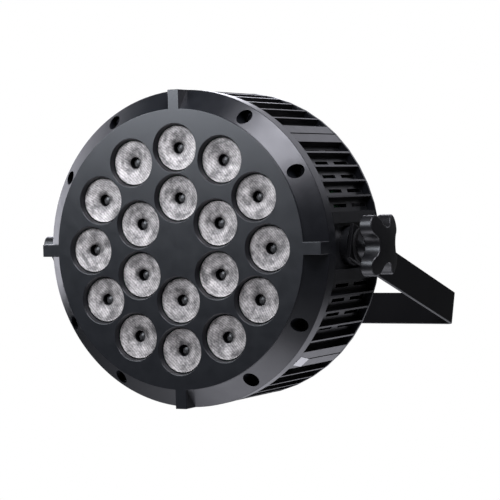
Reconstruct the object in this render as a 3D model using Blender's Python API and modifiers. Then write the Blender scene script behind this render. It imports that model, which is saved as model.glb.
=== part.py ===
"""LED par can: a round stage flood light that tilts in a U-shaped yoke.

Run with: blender --background --python part.py

Every length is in metres. The lamp head is modelled in its own optical frame, in which +Z is the way the
light shines, +Y is up and +X is to the right of someone who faces the lenses. The front of the bezel's
plate is at Z = 0, so whatever lies behind it has a negative Z. The yoke has its own frame, centred on the
bolt hole of its cross bar.
"""

import math

import bmesh
import bpy
from mathutils import Matrix, Vector

# ---------------------------------------------------------------- general clearances
GAP = 0.0003  # between two pieces that touch
SLIDE_GAP = 0.0003  # around a piece that slides or turns
LONG_CUT = 0.004  # how far a cutter runs past the surface that it leaves by

# ---------------------------------------------------------------- head: overall sizes
RIM_RADIUS = 0.105
BODY_DEPTH = 0.0926  # front of the plate to the back of the rear cover
PIVOT_DEPTH = 0.050  # front of the plate to the tilt axis

# ---------------------------------------------------------------- bezel
CONE_WIDTH = 0.0125  # radial width of the sloping ring round the plate
CONE_DEPTH = 0.0124
PLATE_STEP = 0.0010  # the plate stands this much above the start of the slope
PLATE_THICKNESS = 0.0040
BAND_WIDTH = 0.0101  # axial width of the bezel's outer band
BEZEL_WALL = 0.0032
RIB_WIDTH = 0.0082
RIB_ANGLES = (0, 90, 180, 270)
BEZEL_SIDES = 48

# ---------------------------------------------------------------- bezel screws
SCREW_ANGLES = (30, 60, 120, 150, 210, 240, 300, 330)
SCREW_INSET = 0.0066  # from the rim to the screws' axes
POCKET_RADIUS = 0.0046
POCKET_DEPTH = 0.0160  # from the plate's front to the pocket's floor
POCKET_FLOOR = 0.0026
SCREW_RADIUS = 0.0020
SCREW_HEAD_RADIUS = 0.0035
SCREW_HEAD_HEIGHT = 0.0026
SCREW_EDGE = 0.0008  # the bevel round the head
SCREW_LENGTH = 0.0060
POCKET_SIDES = 12
SCREW_SIDES = 8

# ---------------------------------------------------------------- lenses and light board
LENS_RADIUS = 0.0147
LENS_CLEARANCE = 0.0004
LENS_RECESS = 0.0038  # the lens's face behind the plate's front
LENS_DEPTH = 0.0188
LENS_FLANGE = 0.0020
LENS_FOOT_RADIUS = 0.0056
LENS_BORE_RADIUS = 0.0034  # the blind hole in the middle of the lens's face
LENS_BORE_DEPTH = 0.0082
LENS_CUP_RADIUS = 0.0045  # the hollow over the emitter
LENS_CUP_DEPTH = 0.0030
RECESS_FLARE = 0.0009  # how much wider the plate's hole is at its front
OUTER_LENSES = 12
OUTER_LENS_CIRCLE = 0.0667
INNER_LENSES = 6
INNER_LENS_CIRCLE = 0.0337
INNER_LENS_START = 30  # degrees
LENS_SIDES = 12
HOLE_SIDES = 16
EMITTER_SIZE = 0.0050
EMITTER_HEIGHT = 0.0012
BOARD_THICKNESS = 0.0016
BOARD_MARGIN = 0.0030  # from the light board's edge to the collar round it

# ---------------------------------------------------------------- finned panels
FIN_SETBACK = 0.0002  # the fins' tips inside the rim
FIN_HEIGHT = 0.0050
FIN_THICKNESS = 0.0013
FIN_PITCH = 6  # degrees
WALL_THICKNESS = 0.0025
PANEL_HALF_ANGLE = 44.75  # degrees
BOSS_START_ANGLE = 40.8  # degrees, where a panel's thick end begins
END_FIN_ANGLE = 36  # degrees, the last fin before the thick end
SIDE_FIRST_FIN = 18  # degrees, the first fin beside a yoke pad
PAD_EDGE_ANGLE = 12.36  # degrees, the outer edge of the blocks beside the pad
PAD_HALF_HEIGHT = 0.0150
PAD_RECESS = 0.0050  # the pad's flat below the rim
PAD_BOSS_RADIUS = 0.0130
ARM_GAP = 0.0010  # from the rim to the yoke arm
COLLAR_WIDTH = 0.0085
COLLAR_OVERHANG = 0.0020  # the collar runs this far behind the bezel
COLLAR_HALF_ANGLE = 44.5  # degrees
SLOT_WIDTH = 0.0024
FRONT_SLOT_SETBACK = 0.0160  # from the bezel's back to the front slot's start
SLOT_WEB = 0.0090  # between a front slot and the rear slot in line with it
REAR_SLOT_LENGTH = 0.0205
REAR_SLOT_MARGIN = 0.0022  # from the rear slot's end to the panel's end
ARC_STEP = 6  # degrees between the points of a round edge

# ---------------------------------------------------------------- heat sink and fan
SINK_PLATE = 0.0040
SINK_FIN_HEIGHT = 0.0170
SINK_FIN_THICKNESS = 0.0018
SINK_FIN_PITCH = 0.0105
SINK_FINS = 17
FAN_SIZE = 0.060
FAN_DEPTH = 0.0150
FAN_WALL = 0.0020
FAN_CENTRE = (0.0, 0.020)
FAN_HUB_RADIUS = 0.0120
FAN_MOUNT_THICKNESS = 0.0025
FAN_STRUT_WIDTH = 0.0030
FAN_STRUT_DEPTH = 0.0015
FAN_BLADES = 7
FAN_BLADE_PITCH = 38  # degrees
FAN_BLADE_THICKNESS = 0.0012
FAN_BLADE_SHARE = 0.8  # a blade's width as a share of the hub's length
FAN_TIP_GAP = 0.0015

# ---------------------------------------------------------------- rear cover
COVER_THICKNESS = 0.0030
COVER_CHAMFER = 0.0010
SKIRT_WALL = 0.0020
SKIRT_DEPTH = 0.0030
GRILLE_RADIUS = 0.0280
GRILLE_SLOTS = 7
GRILLE_SLOT = 0.0040
GRILLE_PITCH = 0.0075
POST_RADIUS = 0.0028
POST_LENGTH = 0.0036

# ---------------------------------------------------------------- display and buttons
DISPLAY_CENTRE = (0.0, 0.0750)
WINDOW_SIZE = (0.0420, 0.0150)
WINDOW_THICKNESS = 0.0016
DISPLAY_BLOCK = (0.0380, 0.0120)
DISPLAY_PCB = (0.0600, 0.0350, 0.0016)
DISPLAY_PCB_CENTRE = (0.0, 0.0675)
DISPLAY_STANDOFF = 0.0106  # from the cover's inside to the middle of the display board
BUTTON_ROW = 0.0580
BUTTON_PITCH = 0.0130
BUTTON_NAMES = ("menu", "down", "up", "enter")
BUTTON_RADIUS = 0.0030
BUTTON_PROUD = 0.0018
BUTTON_FLANGE_RADIUS = 0.0042
BUTTON_FLANGE = 0.0010
BUTTON_TRAVEL = 0.0006
BUTTON_EDGE = 0.0005
SWITCH_SIZE = 0.0060

# ---------------------------------------------------------------- connectors
CONNECTOR_OFFSET = 0.0190  # from the middle of the cover to each connector's middle
SIGNAL_ROW = -0.0340
POWER_ROW = -0.0690
FLANGE_THICKNESS = 0.0022
SIGNAL_FLANGE = (0.0260, 0.0310)
SIGNAL_BARREL_RADIUS = 0.0116
SIGNAL_BARREL_DEPTH = 0.0200
SIGNAL_CAVITY_RADIUS = 0.0094
SIGNAL_CAVITY_DEPTH = 0.0150
SIGNAL_CORE_RADIUS = 0.0078
SOCKET_SIDES = 24
LATCH_SIZE = (0.0070, 0.0024)
LATCH_HEIGHT = 0.0134  # above the socket's middle
LATCH_TRAVEL = 0.0015
LATCH_PRESSED_PROUD = 0.0007
LATCH_LENGTH = 0.0060
POWER_FLANGE = (0.0320, 0.0290)
POWER_BODY = (0.0280, 0.0250)
POWER_BODY_DEPTH = 0.0200
POWER_CAVITY = (0.0240, 0.0140)
POWER_CAVITY_DEPTH = 0.0150
POWER_CAVITY_HEIGHT = 0.0042  # above the connector's middle
DRAWER_SIZE = (0.0200, 0.0056)
DRAWER_HEIGHT = -0.0086
DRAWER_LENGTH = 0.0165
DRAWER_PROUD = 0.0012
OUTLET_TOWER = (0.0230, 0.0130)
OUTLET_GROOVE = 0.0016
OUTLET_PIN_SLOT = (0.0022, 0.0056)
OUTLET_PIN_PITCH = 0.0070
OUTLET_EARTH_HEIGHT = 0.0015  # the middle contact above the outlet's middle
OUTLET_LINE_HEIGHT = -0.0010  # the outer two

# ---------------------------------------------------------------- circuit boards
SUPPLY_CENTRE = (-0.0590, 0.0120)
CONTROL_CENTRE = (0.0590, 0.0120)
PCB_SIZE = (0.0400, 0.0580)
PCB_THICKNESS = 0.0016
POST_INSET = 0.0040
# Each part on a board: its size and the place of its middle on the board.
TRANSFORMER = ((0.0240, 0.0220, 0.0200), (0.0, 0.0040))
SUPPLY_SINK = ((0.0060, 0.0200, 0.0160), (0.0160, -0.0180))
CONTROLLER = ((0.0140, 0.0140, 0.0024), (0.0, 0.0))
SIGNAL_HEADER = ((0.0200, 0.0080, 0.0090), (0.0, -0.0200))
LIGHT_HEADER = ((0.0220, 0.0060, 0.0080), (0.0, 0.0210))
# Each capacitor: its radius, its height and its place.
CAPACITORS = ((0.0070, 0.0200, (-0.0090, -0.0190)), (0.0050, 0.0160, (0.0060, 0.0220)))

# ---------------------------------------------------------------- safety eye
EYE_CENTRE = (0.0540, 0.0560)
EYE_PLATE = (0.0300, 0.0120)
EYE_PLATE_THICKNESS = 0.0020
EYE_WIRE_RADIUS = 0.0020
EYE_HALF_WIDTH = 0.0090
EYE_STANDOFF = 0.0050

# ---------------------------------------------------------------- yoke
YOKE_REACH = 0.1717  # tilt axis to the cross bar's outer face
YOKE_ANGLE = 17.7  # degrees below the level of the head's back
YOKE_WIDTH = 0.0230
YOKE_THICKNESS = 0.0025
YOKE_BEND_RADIUS = 0.0045
YOKE_END = 0.0120  # the arm's length beyond the tilt axis
YOKE_CHAMFER = 0.0048
YOKE_BOLT_RADIUS = 0.0065
YOKE_SMALL_HOLE_RADIUS = 0.00425
YOKE_SMALL_HOLE_OFFSET = 0.0320
BEND_STEPS = 5

# ---------------------------------------------------------------- tilt clamps
STUD_RADIUS = 0.0039
STUD_TURNING_GAP = 0.0004
INSERT_RADIUS = 0.0070
INSERT_FLANGE_RADIUS = 0.0100
INSERT_FLANGE = 0.0022
WASHER_RADIUS = 0.0115
WASHER_THICKNESS = 0.0015
KNOB_HUB_RADIUS = 0.0090
KNOB_HUB_LENGTH = {"right": 0.0070, "left": 0.0020}
KNOB_RADIUS = 0.0250
KNOB_THICKNESS = 0.0084  # at the lobes' tips
KNOB_CROWN = 0.0042  # how much thicker it is in the middle
KNOB_CROWN_RINGS = 4
KNOB_ARC_STEP = 22  # degrees
KNOB_LOBES = 4
KNOB_TIP_RADIUS = 0.0068
KNOB_NOTCH_RADIUS = 0.0118  # from the axis to the bottom of the notch between two lobes
KNOB_EDGE = 0.0010
KNOB_CORE = 0.0120  # how far the stud runs into the knob
KNOB_TURN = {"right": 45, "left": 7}  # degrees from a lobe to the front
TURN_SIDES = 16

# ---------------------------------------------------------------- worked-out places
PLATE_RADIUS = RIM_RADIUS - CONE_WIDTH
BEZEL_DEPTH = CONE_DEPTH + BAND_WIDTH
BAND_INNER_RADIUS = RIM_RADIUS - BEZEL_WALL
SCREW_CIRCLE = RIM_RADIUS - SCREW_INSET
THROAT_RADIUS = LENS_RADIUS + LENS_CLEARANCE
FIN_RADIUS = RIM_RADIUS - FIN_SETBACK
WALL_RADIUS = FIN_RADIUS - FIN_HEIGHT
WALL_INNER_RADIUS = WALL_RADIUS - WALL_THICKNESS
PANEL_FRONT = BEZEL_DEPTH + GAP
COVER_FRONT = BODY_DEPTH - COVER_THICKNESS
PANEL_BACK = COVER_FRONT - GAP
COLLAR_RADIUS = BAND_INNER_RADIUS - GAP
COLLAR_INNER_RADIUS = COLLAR_RADIUS - COLLAR_WIDTH
COLLAR_FRONT = POCKET_DEPTH + POCKET_FLOOR + GAP
COLLAR_BACK = PANEL_FRONT + COLLAR_OVERHANG
BOARD_FRONT = LENS_RECESS + LENS_DEPTH + GAP
BOARD_BACK = BOARD_FRONT + BOARD_THICKNESS
BOARD_RADIUS = COLLAR_INNER_RADIUS - BOARD_MARGIN
SINK_FRONT = max(BOARD_BACK, COLLAR_BACK) + GAP
SINK_RADIUS = WALL_INNER_RADIUS - GAP
SINK_BACK = SINK_FRONT + SINK_PLATE + SINK_FIN_HEIGHT
FAN_FRONT = SINK_BACK + GAP
FAN_BACK = FAN_FRONT + FAN_DEPTH
ARM_INNER = RIM_RADIUS + ARM_GAP
ARM_OUTER = ARM_INNER + YOKE_THICKNESS
PAD_BOSS_FACE = ARM_INNER - GAP
WALL_FLAT_RADIUS = WALL_INNER_RADIUS * math.cos(math.radians(ARC_STEP / 2))
INSERT_SEAT = math.sqrt(WALL_FLAT_RADIUS**2 - INSERT_FLANGE_RADIUS**2) - GAP
INSERT_INNER = INSERT_SEAT - INSERT_FLANGE
WASHER_INNER_FACE = ARM_OUTER + GAP
KNOB_INNER_FACE = WASHER_INNER_FACE + WASHER_THICKNESS + GAP
PCB_BACK = COVER_FRONT - POST_LENGTH - GAP
DISPLAY_BACK = COVER_FRONT - DISPLAY_STANDOFF
REAR_SLOT = (PANEL_BACK - REAR_SLOT_MARGIN - REAR_SLOT_LENGTH, PANEL_BACK - REAR_SLOT_MARGIN)
FRONT_SLOT = (BEZEL_DEPTH + FRONT_SLOT_SETBACK, REAR_SLOT[0] - SLOT_WEB)
BUTTON_INNER = COVER_FRONT - GAP - BUTTON_FLANGE


# ---------------------------------------------------------------- scene and materials
def clear_scene():
    for item in list(bpy.data.objects):
        bpy.data.objects.remove(item)


def new_collection(name):
    made = bpy.data.collections.new(name)
    bpy.context.scene.collection.children.link(made)
    return made


def material(name, colour, roughness, metallic=0.0):
    made = bpy.data.materials.new(name)
    made.use_nodes = True
    shader = made.node_tree.nodes["Principled BSDF"]
    shader.inputs["Base Color"].default_value = (*colour, 1.0)
    shader.inputs["Roughness"].default_value = roughness
    shader.inputs["Metallic"].default_value = metallic
    made.diffuse_color = (*colour, 1.0)
    return made


clear_scene()
PARTS = new_collection("par_can")
CUTTERS = new_collection("cutters")

SHELL = material("black_shell", (0.045, 0.047, 0.052), 0.45)
STEEL_PAINT = material("black_painted_steel", (0.020, 0.020, 0.022), 0.50)
KNOB_PLASTIC = material("knob_plastic", (0.040, 0.040, 0.044), 0.40)
CLEAR = material("lens_acrylic", (0.75, 0.76, 0.80), 0.20)
BOARD = material("circuit_board", (0.03, 0.16, 0.07), 0.50)
ALUMINIUM = material("bare_aluminium", (0.60, 0.61, 0.63), 0.40, 1.0)
STEEL = material("zinc_steel", (0.45, 0.45, 0.47), 0.35, 1.0)
BRASS = material("brass", (0.66, 0.50, 0.22), 0.35, 1.0)
RUBBER = material("rubber", (0.02, 0.02, 0.02), 0.80)
WINDOW = material("smoked_window", (0.06, 0.02, 0.02), 0.10)
SOCKET = material("socket_plastic", (0.025, 0.025, 0.027), 0.35)
BUTTON = material("button_plastic", (0.10, 0.10, 0.11), 0.45)


# ---------------------------------------------------------------- helpers
def frame(name, location=(0, 0, 0), rotation=(0, 0, 0), parent=None):
    """An empty that other objects are placed in. Angles are in degrees."""
    made = bpy.data.objects.new(name, None)
    PARTS.objects.link(made)
    made.parent = parent
    made.location = location
    made.rotation_euler = [math.radians(angle) for angle in rotation]
    return made


def add(name, mesh, parent, finish, location=(0, 0, 0), rotation=(0, 0, 0)):
    """A named object that shows mesh. With no finish it is a cutter, which isn't part of the lamp."""
    made = bpy.data.objects.new(name, mesh)
    made.parent = parent
    made.location = location
    made.rotation_euler = [math.radians(angle) for angle in rotation]
    if finish is None:
        CUTTERS.objects.link(made)
        made.hide_render = True
        made.display_type = "WIRE"
    else:
        PARTS.objects.link(made)
        made.data.materials.append(finish)
    return made


def mesh_of(name, fill):
    """A mesh that fill(bm) has put shapes into."""
    bm = bmesh.new()
    fill(bm)
    mesh = bpy.data.meshes.new(name)
    bm.to_mesh(mesh)
    bm.free()
    return mesh


def put_box(bm, size, centre, turn=0):
    """A box in bm, turned about Z round the frame's own origin after it is placed."""
    matrix = Matrix.Rotation(math.radians(turn), 4, "Z") @ Matrix.Translation(centre)
    bmesh.ops.create_cube(bm, size=1, matrix=matrix @ Matrix.Diagonal((*size, 1)))


def put_rod(bm, radius, back, front, centre=(0, 0), sides=SCREW_SIDES, front_radius=None):
    """A rod or cone in bm along Z, from Z = back to Z = front."""
    bmesh.ops.create_cone(
        bm,
        cap_ends=True,
        segments=sides,
        radius1=radius,
        radius2=radius if front_radius is None else front_radius,
        depth=front - back,
        matrix=Matrix.Translation((*centre, (back + front) / 2)),
    )


def box(name, size, centre, parent, finish):
    return add(name, mesh_of(name, lambda bm: put_box(bm, size, (0, 0, 0))), parent, finish, centre)


def rod(name, radius, back, front, parent, finish, centre=(0, 0), sides=SCREW_SIDES):
    mesh = mesh_of(name, lambda bm: put_rod(bm, radius, back, front, sides=sides))
    return add(name, mesh, parent, finish, (*centre, 0))


def turned(name, profile, parent, finish, sides=TURN_SIDES, centre=(0, 0), closed=False):
    """A turned piece. The profile's (radius, Z) points run down its outer side; closed makes it a ring."""
    mesh = bpy.data.meshes.new(name)
    points = [(radius, 0, z) for radius, z in profile]
    edges = [(i, i + 1) for i in range(len(points) - 1)]
    if closed:
        edges.append((len(points) - 1, 0))
    mesh.from_pydata(points, edges, [])
    made = add(name, mesh, parent, finish, (*centre, 0))
    screw = made.modifiers.new("turn", "SCREW")
    screw.axis = "Z"
    screw.steps = screw.render_steps = sides
    screw.use_merge_vertices = True
    screw.merge_threshold = 0.00001
    return made


def sheet(name, points, back, front, parent, finish, rotation=(0, 0, 0)):
    """A flat outline in X and Y, from Z = back to Z = front, as a mesh."""
    curve = bpy.data.curves.new(name, "CURVE")
    curve.dimensions = "2D"
    curve.fill_mode = "BOTH"
    curve.extrude = (front - back) / 2
    spline = curve.splines.new("POLY")
    spline.points.add(len(points) - 1)
    for point, (x, y) in zip(spline.points, points):
        point.co = (x, y, 0, 1)
    spline.use_cyclic_u = True
    return curve_to_mesh(name, curve, parent, finish, (0, 0, (back + front) / 2), rotation)


def curve_to_mesh(name, curve, parent, finish, location=(0, 0, 0), rotation=(0, 0, 0)):
    """The curve's solid as a mesh object, with its caps welded, so that Booleans can use it."""
    drawn = bpy.data.objects.new(name + "_curve", curve)
    CUTTERS.objects.link(drawn)
    graph = bpy.context.evaluated_depsgraph_get()
    mesh = bpy.data.meshes.new_from_object(drawn.evaluated_get(graph))
    bpy.data.objects.remove(drawn)
    bm = bmesh.new()
    bm.from_mesh(mesh)
    bmesh.ops.remove_doubles(bm, verts=bm.verts, dist=0.000001)
    bmesh.ops.recalc_face_normals(bm, faces=bm.faces)
    bm.to_mesh(mesh)
    bm.free()
    mesh.materials.clear()
    return add(name, mesh, parent, finish, location, rotation)


def combine(target, other, operation):
    step = target.modifiers.new(other.name, "BOOLEAN")
    step.operation = operation
    step.solver = "EXACT"
    step.object = other


def cut(target, fill, name, rotation=(0, 0, 0)):
    """Cuts target with the shapes that fill(bm) makes in target's parent's frame."""
    cutter = add(name, mesh_of(name, fill), target.parent, None, rotation=rotation)
    combine(target, cutter, "DIFFERENCE")
    return cutter


def join(target, fill, name):
    """Joins to target the shapes that fill(bm) makes. The shapes must not meet each other."""
    combine(target, add(name, mesh_of(name, fill), target.parent, None), "UNION")


def at_angle(radius, degrees):
    return radius * math.cos(math.radians(degrees)), radius * math.sin(math.radians(degrees))


def arc(radius, start, end, step=ARC_STEP):
    """Points on a circle from start to end, in degrees, with both ends."""
    count = max(1, math.ceil(abs(end - start) / step - 0.001))
    return [at_angle(radius, start + (end - start) * i / count) for i in range(count + 1)]


def shade(obj):
    """Smooth round sides and sharp edges, on a mesh that has its faces already."""
    if obj.data.polygons:
        obj.data.shade_smooth()
        obj.data.set_sharp_from_angle(angle=math.radians(35))


# ---------------------------------------------------------------- frames
YOKE_FRAME = frame("yoke_frame", rotation=(-YOKE_ANGLE, 0, 0))
PIVOT_POINT = Matrix.Rotation(math.radians(-YOKE_ANGLE), 4, "X") @ Vector((0, -YOKE_REACH, 0))
HEAD_FRAME = frame("head_frame", PIVOT_POINT + Vector((0, -PIVOT_DEPTH, 0)), (90, 0, 0))
CLAMP_FRAMES = {
    "right": frame("right_clamp_frame", (0, 0, -PIVOT_DEPTH), (0, 90, 0), HEAD_FRAME),
    "left": frame("left_clamp_frame", (0, 0, -PIVOT_DEPTH), (0, -90, 0), HEAD_FRAME),
}


# ---------------------------------------------------------------- front of the head
def lens_places():
    """(name, x, y) of every lens."""
    places = []
    for ring, count, circle, start in (
        ("outer", OUTER_LENSES, OUTER_LENS_CIRCLE, 0),
        ("inner", INNER_LENSES, INNER_LENS_CIRCLE, INNER_LENS_START),
    ):
        for i in range(count):
            places.append((f"lens_{ring}_{i + 1:02d}", *at_angle(circle, start + i * 360 / count)))
    return places


def screw_places():
    return [at_angle(SCREW_CIRCLE, angle) for angle in SCREW_ANGLES]


def make_bezel():
    """The front moulding: a plate with lens holes, a sloping ring, four ribs and the outer band."""
    inner_cone = PLATE_RADIUS - BEZEL_WALL / 2
    bezel = turned(
        "front_bezel",
        [
            (0, 0),
            (PLATE_RADIUS, 0),
            (PLATE_RADIUS, -PLATE_STEP),
            (RIM_RADIUS, -CONE_DEPTH),
            (RIM_RADIUS, -BEZEL_DEPTH),
            (BAND_INNER_RADIUS, -BEZEL_DEPTH),
            (BAND_INNER_RADIUS, -POCKET_DEPTH - POCKET_FLOOR),
            (inner_cone, -POCKET_DEPTH - POCKET_FLOOR),
            (inner_cone, -PLATE_THICKNESS),
            (0, -PLATE_THICKNESS),
        ],
        HEAD_FRAME,
        SHELL,
        BEZEL_SIDES,
    )

    def ribs(bm):
        length = CONE_WIDTH + PLATE_STEP
        for angle in RIB_ANGLES:
            centre = (RIM_RADIUS - length / 2, 0, -CONE_DEPTH / 2)
            put_box(bm, (length, RIB_WIDTH, CONE_DEPTH), centre, angle)

    join(bezel, ribs, "bezel_ribs")
    cut(bezel, bezel_pockets, "bezel_pockets")
    cut(bezel, bezel_screw_holes, "bezel_screw_holes")
    cut(bezel, lens_flares, "lens_flares")
    cut(bezel, lens_throats, "lens_throats")


def bezel_pockets(bm):
    for place in screw_places():
        put_rod(bm, POCKET_RADIUS, -POCKET_DEPTH, LONG_CUT, place, POCKET_SIDES)


def bezel_screw_holes(bm):
    back = -POCKET_DEPTH - POCKET_FLOOR - LONG_CUT
    for place in screw_places():
        put_rod(bm, SCREW_RADIUS + SLIDE_GAP, back, -POCKET_DEPTH + POCKET_FLOOR / 2, place)


def lens_flares(bm):
    """The cones at the front of the lens holes, run on past the plate at the same slope."""
    slope = RECESS_FLARE / LENS_RECESS
    for _, x, y in lens_places():
        front = THROAT_RADIUS + RECESS_FLARE + slope * LONG_CUT
        put_rod(bm, THROAT_RADIUS, -LENS_RECESS, LONG_CUT, (x, y), HOLE_SIDES, front)


def lens_throats(bm):
    for _, x, y in lens_places():
        back = -PLATE_THICKNESS - LONG_CUT
        put_rod(bm, THROAT_RADIUS, back, -LENS_RECESS / 2, (x, y), HOLE_SIDES)


def make_lenses():
    """Moulded collimator lenses, each standing on the light board over its own emitter."""
    front, back = -LENS_RECESS, -LENS_RECESS - LENS_DEPTH
    profile = [
        (0, front - LENS_BORE_DEPTH),
        (LENS_BORE_RADIUS, front - LENS_BORE_DEPTH),
        (LENS_BORE_RADIUS, front),
        (LENS_RADIUS, front),
        (LENS_RADIUS, front - LENS_FLANGE),
        (LENS_FOOT_RADIUS, back),
        (LENS_CUP_RADIUS, back),
        (LENS_CUP_RADIUS, back + LENS_CUP_DEPTH),
        (0, back + LENS_CUP_DEPTH),
    ]
    for name, x, y in lens_places():
        turned(name, profile, HEAD_FRAME, CLEAR, LENS_SIDES, (x, y))


def make_light_board():
    """The aluminium-backed board that carries one emitter behind each lens."""
    board = rod("led_board", BOARD_RADIUS, -BOARD_BACK, -BOARD_FRONT, HEAD_FRAME, BOARD, sides=BEZEL_SIDES)

    def emitters(bm):
        size = (EMITTER_SIZE, EMITTER_SIZE, EMITTER_HEIGHT + BOARD_THICKNESS / 2)
        for _, x, y in lens_places():
            put_box(bm, size, (x, y, -BOARD_FRONT + EMITTER_HEIGHT - size[2] / 2))

    join(board, emitters, "led_emitters")


def make_bezel_screws():
    head_top = -POCKET_DEPTH + GAP + SCREW_HEAD_HEIGHT
    under_head = -POCKET_DEPTH + GAP
    profile = [
        (0, head_top),
        (SCREW_HEAD_RADIUS - SCREW_EDGE, head_top),
        (SCREW_HEAD_RADIUS, head_top - SCREW_EDGE),
        (SCREW_HEAD_RADIUS, under_head),
        (SCREW_RADIUS, under_head),
        (SCREW_RADIUS, under_head - SCREW_LENGTH),
        (0, under_head - SCREW_LENGTH),
    ]
    for number, place in enumerate(screw_places(), 1):
        turned(f"bezel_screw_{number}", profile, HEAD_FRAME, STEEL, SCREW_SIDES, place)


# ---------------------------------------------------------------- finned housing
def wall_point(angle, offset):
    """A point on the wall's outside, offset sideways from the radial line at that angle."""
    along = math.sqrt(WALL_RADIUS**2 - offset**2)
    turn = Matrix.Rotation(math.radians(angle), 2)
    return tuple(turn @ Vector((along, offset)))


def fin_points(angle):
    """The four corners of one fin, in order round the panel."""
    half = FIN_THICKNESS / 2
    turn = Matrix.Rotation(math.radians(angle), 2)
    tips = [tuple(turn @ Vector((FIN_RADIUS, side))) for side in (-half, half)]
    return [wall_point(angle, -half), *tips, wall_point(angle, half)]


def pad_points():
    """The blocks and the flat recess between them, where a yoke arm is clamped."""
    flat = RIM_RADIUS - PAD_RECESS
    corner_angle = math.degrees(math.asin(PAD_HALF_HEIGHT / FIN_RADIUS))
    lower = [at_angle(WALL_RADIUS, -PAD_EDGE_ANGLE), *arc(FIN_RADIUS, -PAD_EDGE_ANGLE, -corner_angle)]
    lower.append((flat, -PAD_HALF_HEIGHT))
    upper = [(x, -y) for x, y in reversed(lower)]
    return lower + upper


def panel_outline(fins, padded):
    """The section of one panel, centred on +X."""
    lower_fins = [angle for angle in fins if angle < 0]
    points = arc(FIN_RADIUS, -PANEL_HALF_ANGLE, -BOSS_START_ANGLE)
    points.append(at_angle(WALL_RADIUS, -BOSS_START_ANGLE))
    for angle in lower_fins:
        points += fin_points(angle)
    if padded:
        points += pad_points()
    for angle in fins[len(lower_fins) :]:
        points += fin_points(angle)
    points.append(at_angle(WALL_RADIUS, BOSS_START_ANGLE))
    points += arc(FIN_RADIUS, BOSS_START_ANGLE, PANEL_HALF_ANGLE)
    return points + arc(WALL_INNER_RADIUS, PANEL_HALF_ANGLE, -PANEL_HALF_ANGLE)


def gap_angles(fins, padded):
    """The middle of each gap that has vent slots."""
    edges = [-BOSS_START_ANGLE, *fins, BOSS_START_ANGLE]
    gaps = [(a + b) / 2 for a, b in zip(edges, edges[1:])]
    return [angle for angle in gaps if not padded or abs(angle) > PAD_EDGE_ANGLE] + (
        [-(SIDE_FIRST_FIN + PAD_EDGE_ANGLE) / 2, (SIDE_FIRST_FIN + PAD_EDGE_ANGLE) / 2] if padded else []
    )


def make_panel(name, centre_angle, padded):
    """A quarter of the finned housing, with a collar in front that the bezel is screwed to."""
    first = SIDE_FIRST_FIN if padded else 0
    upper = list(range(first, END_FIN_ANGLE + 1, FIN_PITCH))
    fins = sorted({-angle for angle in upper} | set(upper))
    turn = (0, 0, centre_angle)
    outline = panel_outline(fins, padded)
    panel = sheet(name, outline, -PANEL_BACK, -PANEL_FRONT, HEAD_FRAME, SHELL, turn)
    shade(panel)
    ring = arc(COLLAR_RADIUS, -COLLAR_HALF_ANGLE, COLLAR_HALF_ANGLE)
    ring += arc(COLLAR_INNER_RADIUS, COLLAR_HALF_ANGLE, -COLLAR_HALF_ANGLE)
    collar = sheet(name + "_collar", ring, -COLLAR_BACK, -COLLAR_FRONT, HEAD_FRAME, None, turn)
    combine(panel, collar, "UNION")

    def slots(bm):
        for angle in gap_angles(fins, padded):
            for start, end in (FRONT_SLOT, REAR_SLOT):
                size = (WALL_THICKNESS + LONG_CUT, SLOT_WIDTH, end - start)
                centre = (WALL_RADIUS - WALL_THICKNESS / 2, 0, -(start + end) / 2)
                put_box(bm, size, centre, angle)

    cut(panel, slots, name + "_slots", turn)

    def screw_holes(bm):
        for angle in SCREW_ANGLES:
            from_centre = (angle - centre_angle + 180) % 360 - 180
            if abs(from_centre) < PANEL_HALF_ANGLE:
                place = at_angle(SCREW_CIRCLE, from_centre)
                put_rod(bm, SCREW_RADIUS + SLIDE_GAP, -BEZEL_DEPTH + GAP, -COLLAR_FRONT + LONG_CUT, place)

    cut(panel, screw_holes, name + "_screw_holes", turn)
    if padded:
        side = "right" if centre_angle == 0 else "left"
        add_pad_boss(panel, side)


def add_pad_boss(panel, side):
    """The round boss in the pad's recess, and the hole through it for the threaded insert."""
    name = f"{side}_pad_boss"
    flat = RIM_RADIUS - PAD_RECESS - PAD_RECESS / 2
    boss = mesh_of(name, lambda bm: put_rod(bm, PAD_BOSS_RADIUS, flat, PAD_BOSS_FACE, sides=TURN_SIDES))
    combine(panel, add(name, boss, CLAMP_FRAMES[side], None), "UNION")
    name = f"{side}_insert_hole"
    radius = INSERT_RADIUS + SLIDE_GAP
    inner, outer = WALL_INNER_RADIUS - LONG_CUT, PAD_BOSS_FACE + LONG_CUT
    hole = mesh_of(name, lambda bm: put_rod(bm, radius, inner, outer, sides=TURN_SIDES))
    combine(panel, add(name, hole, CLAMP_FRAMES[side], None), "DIFFERENCE")


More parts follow.
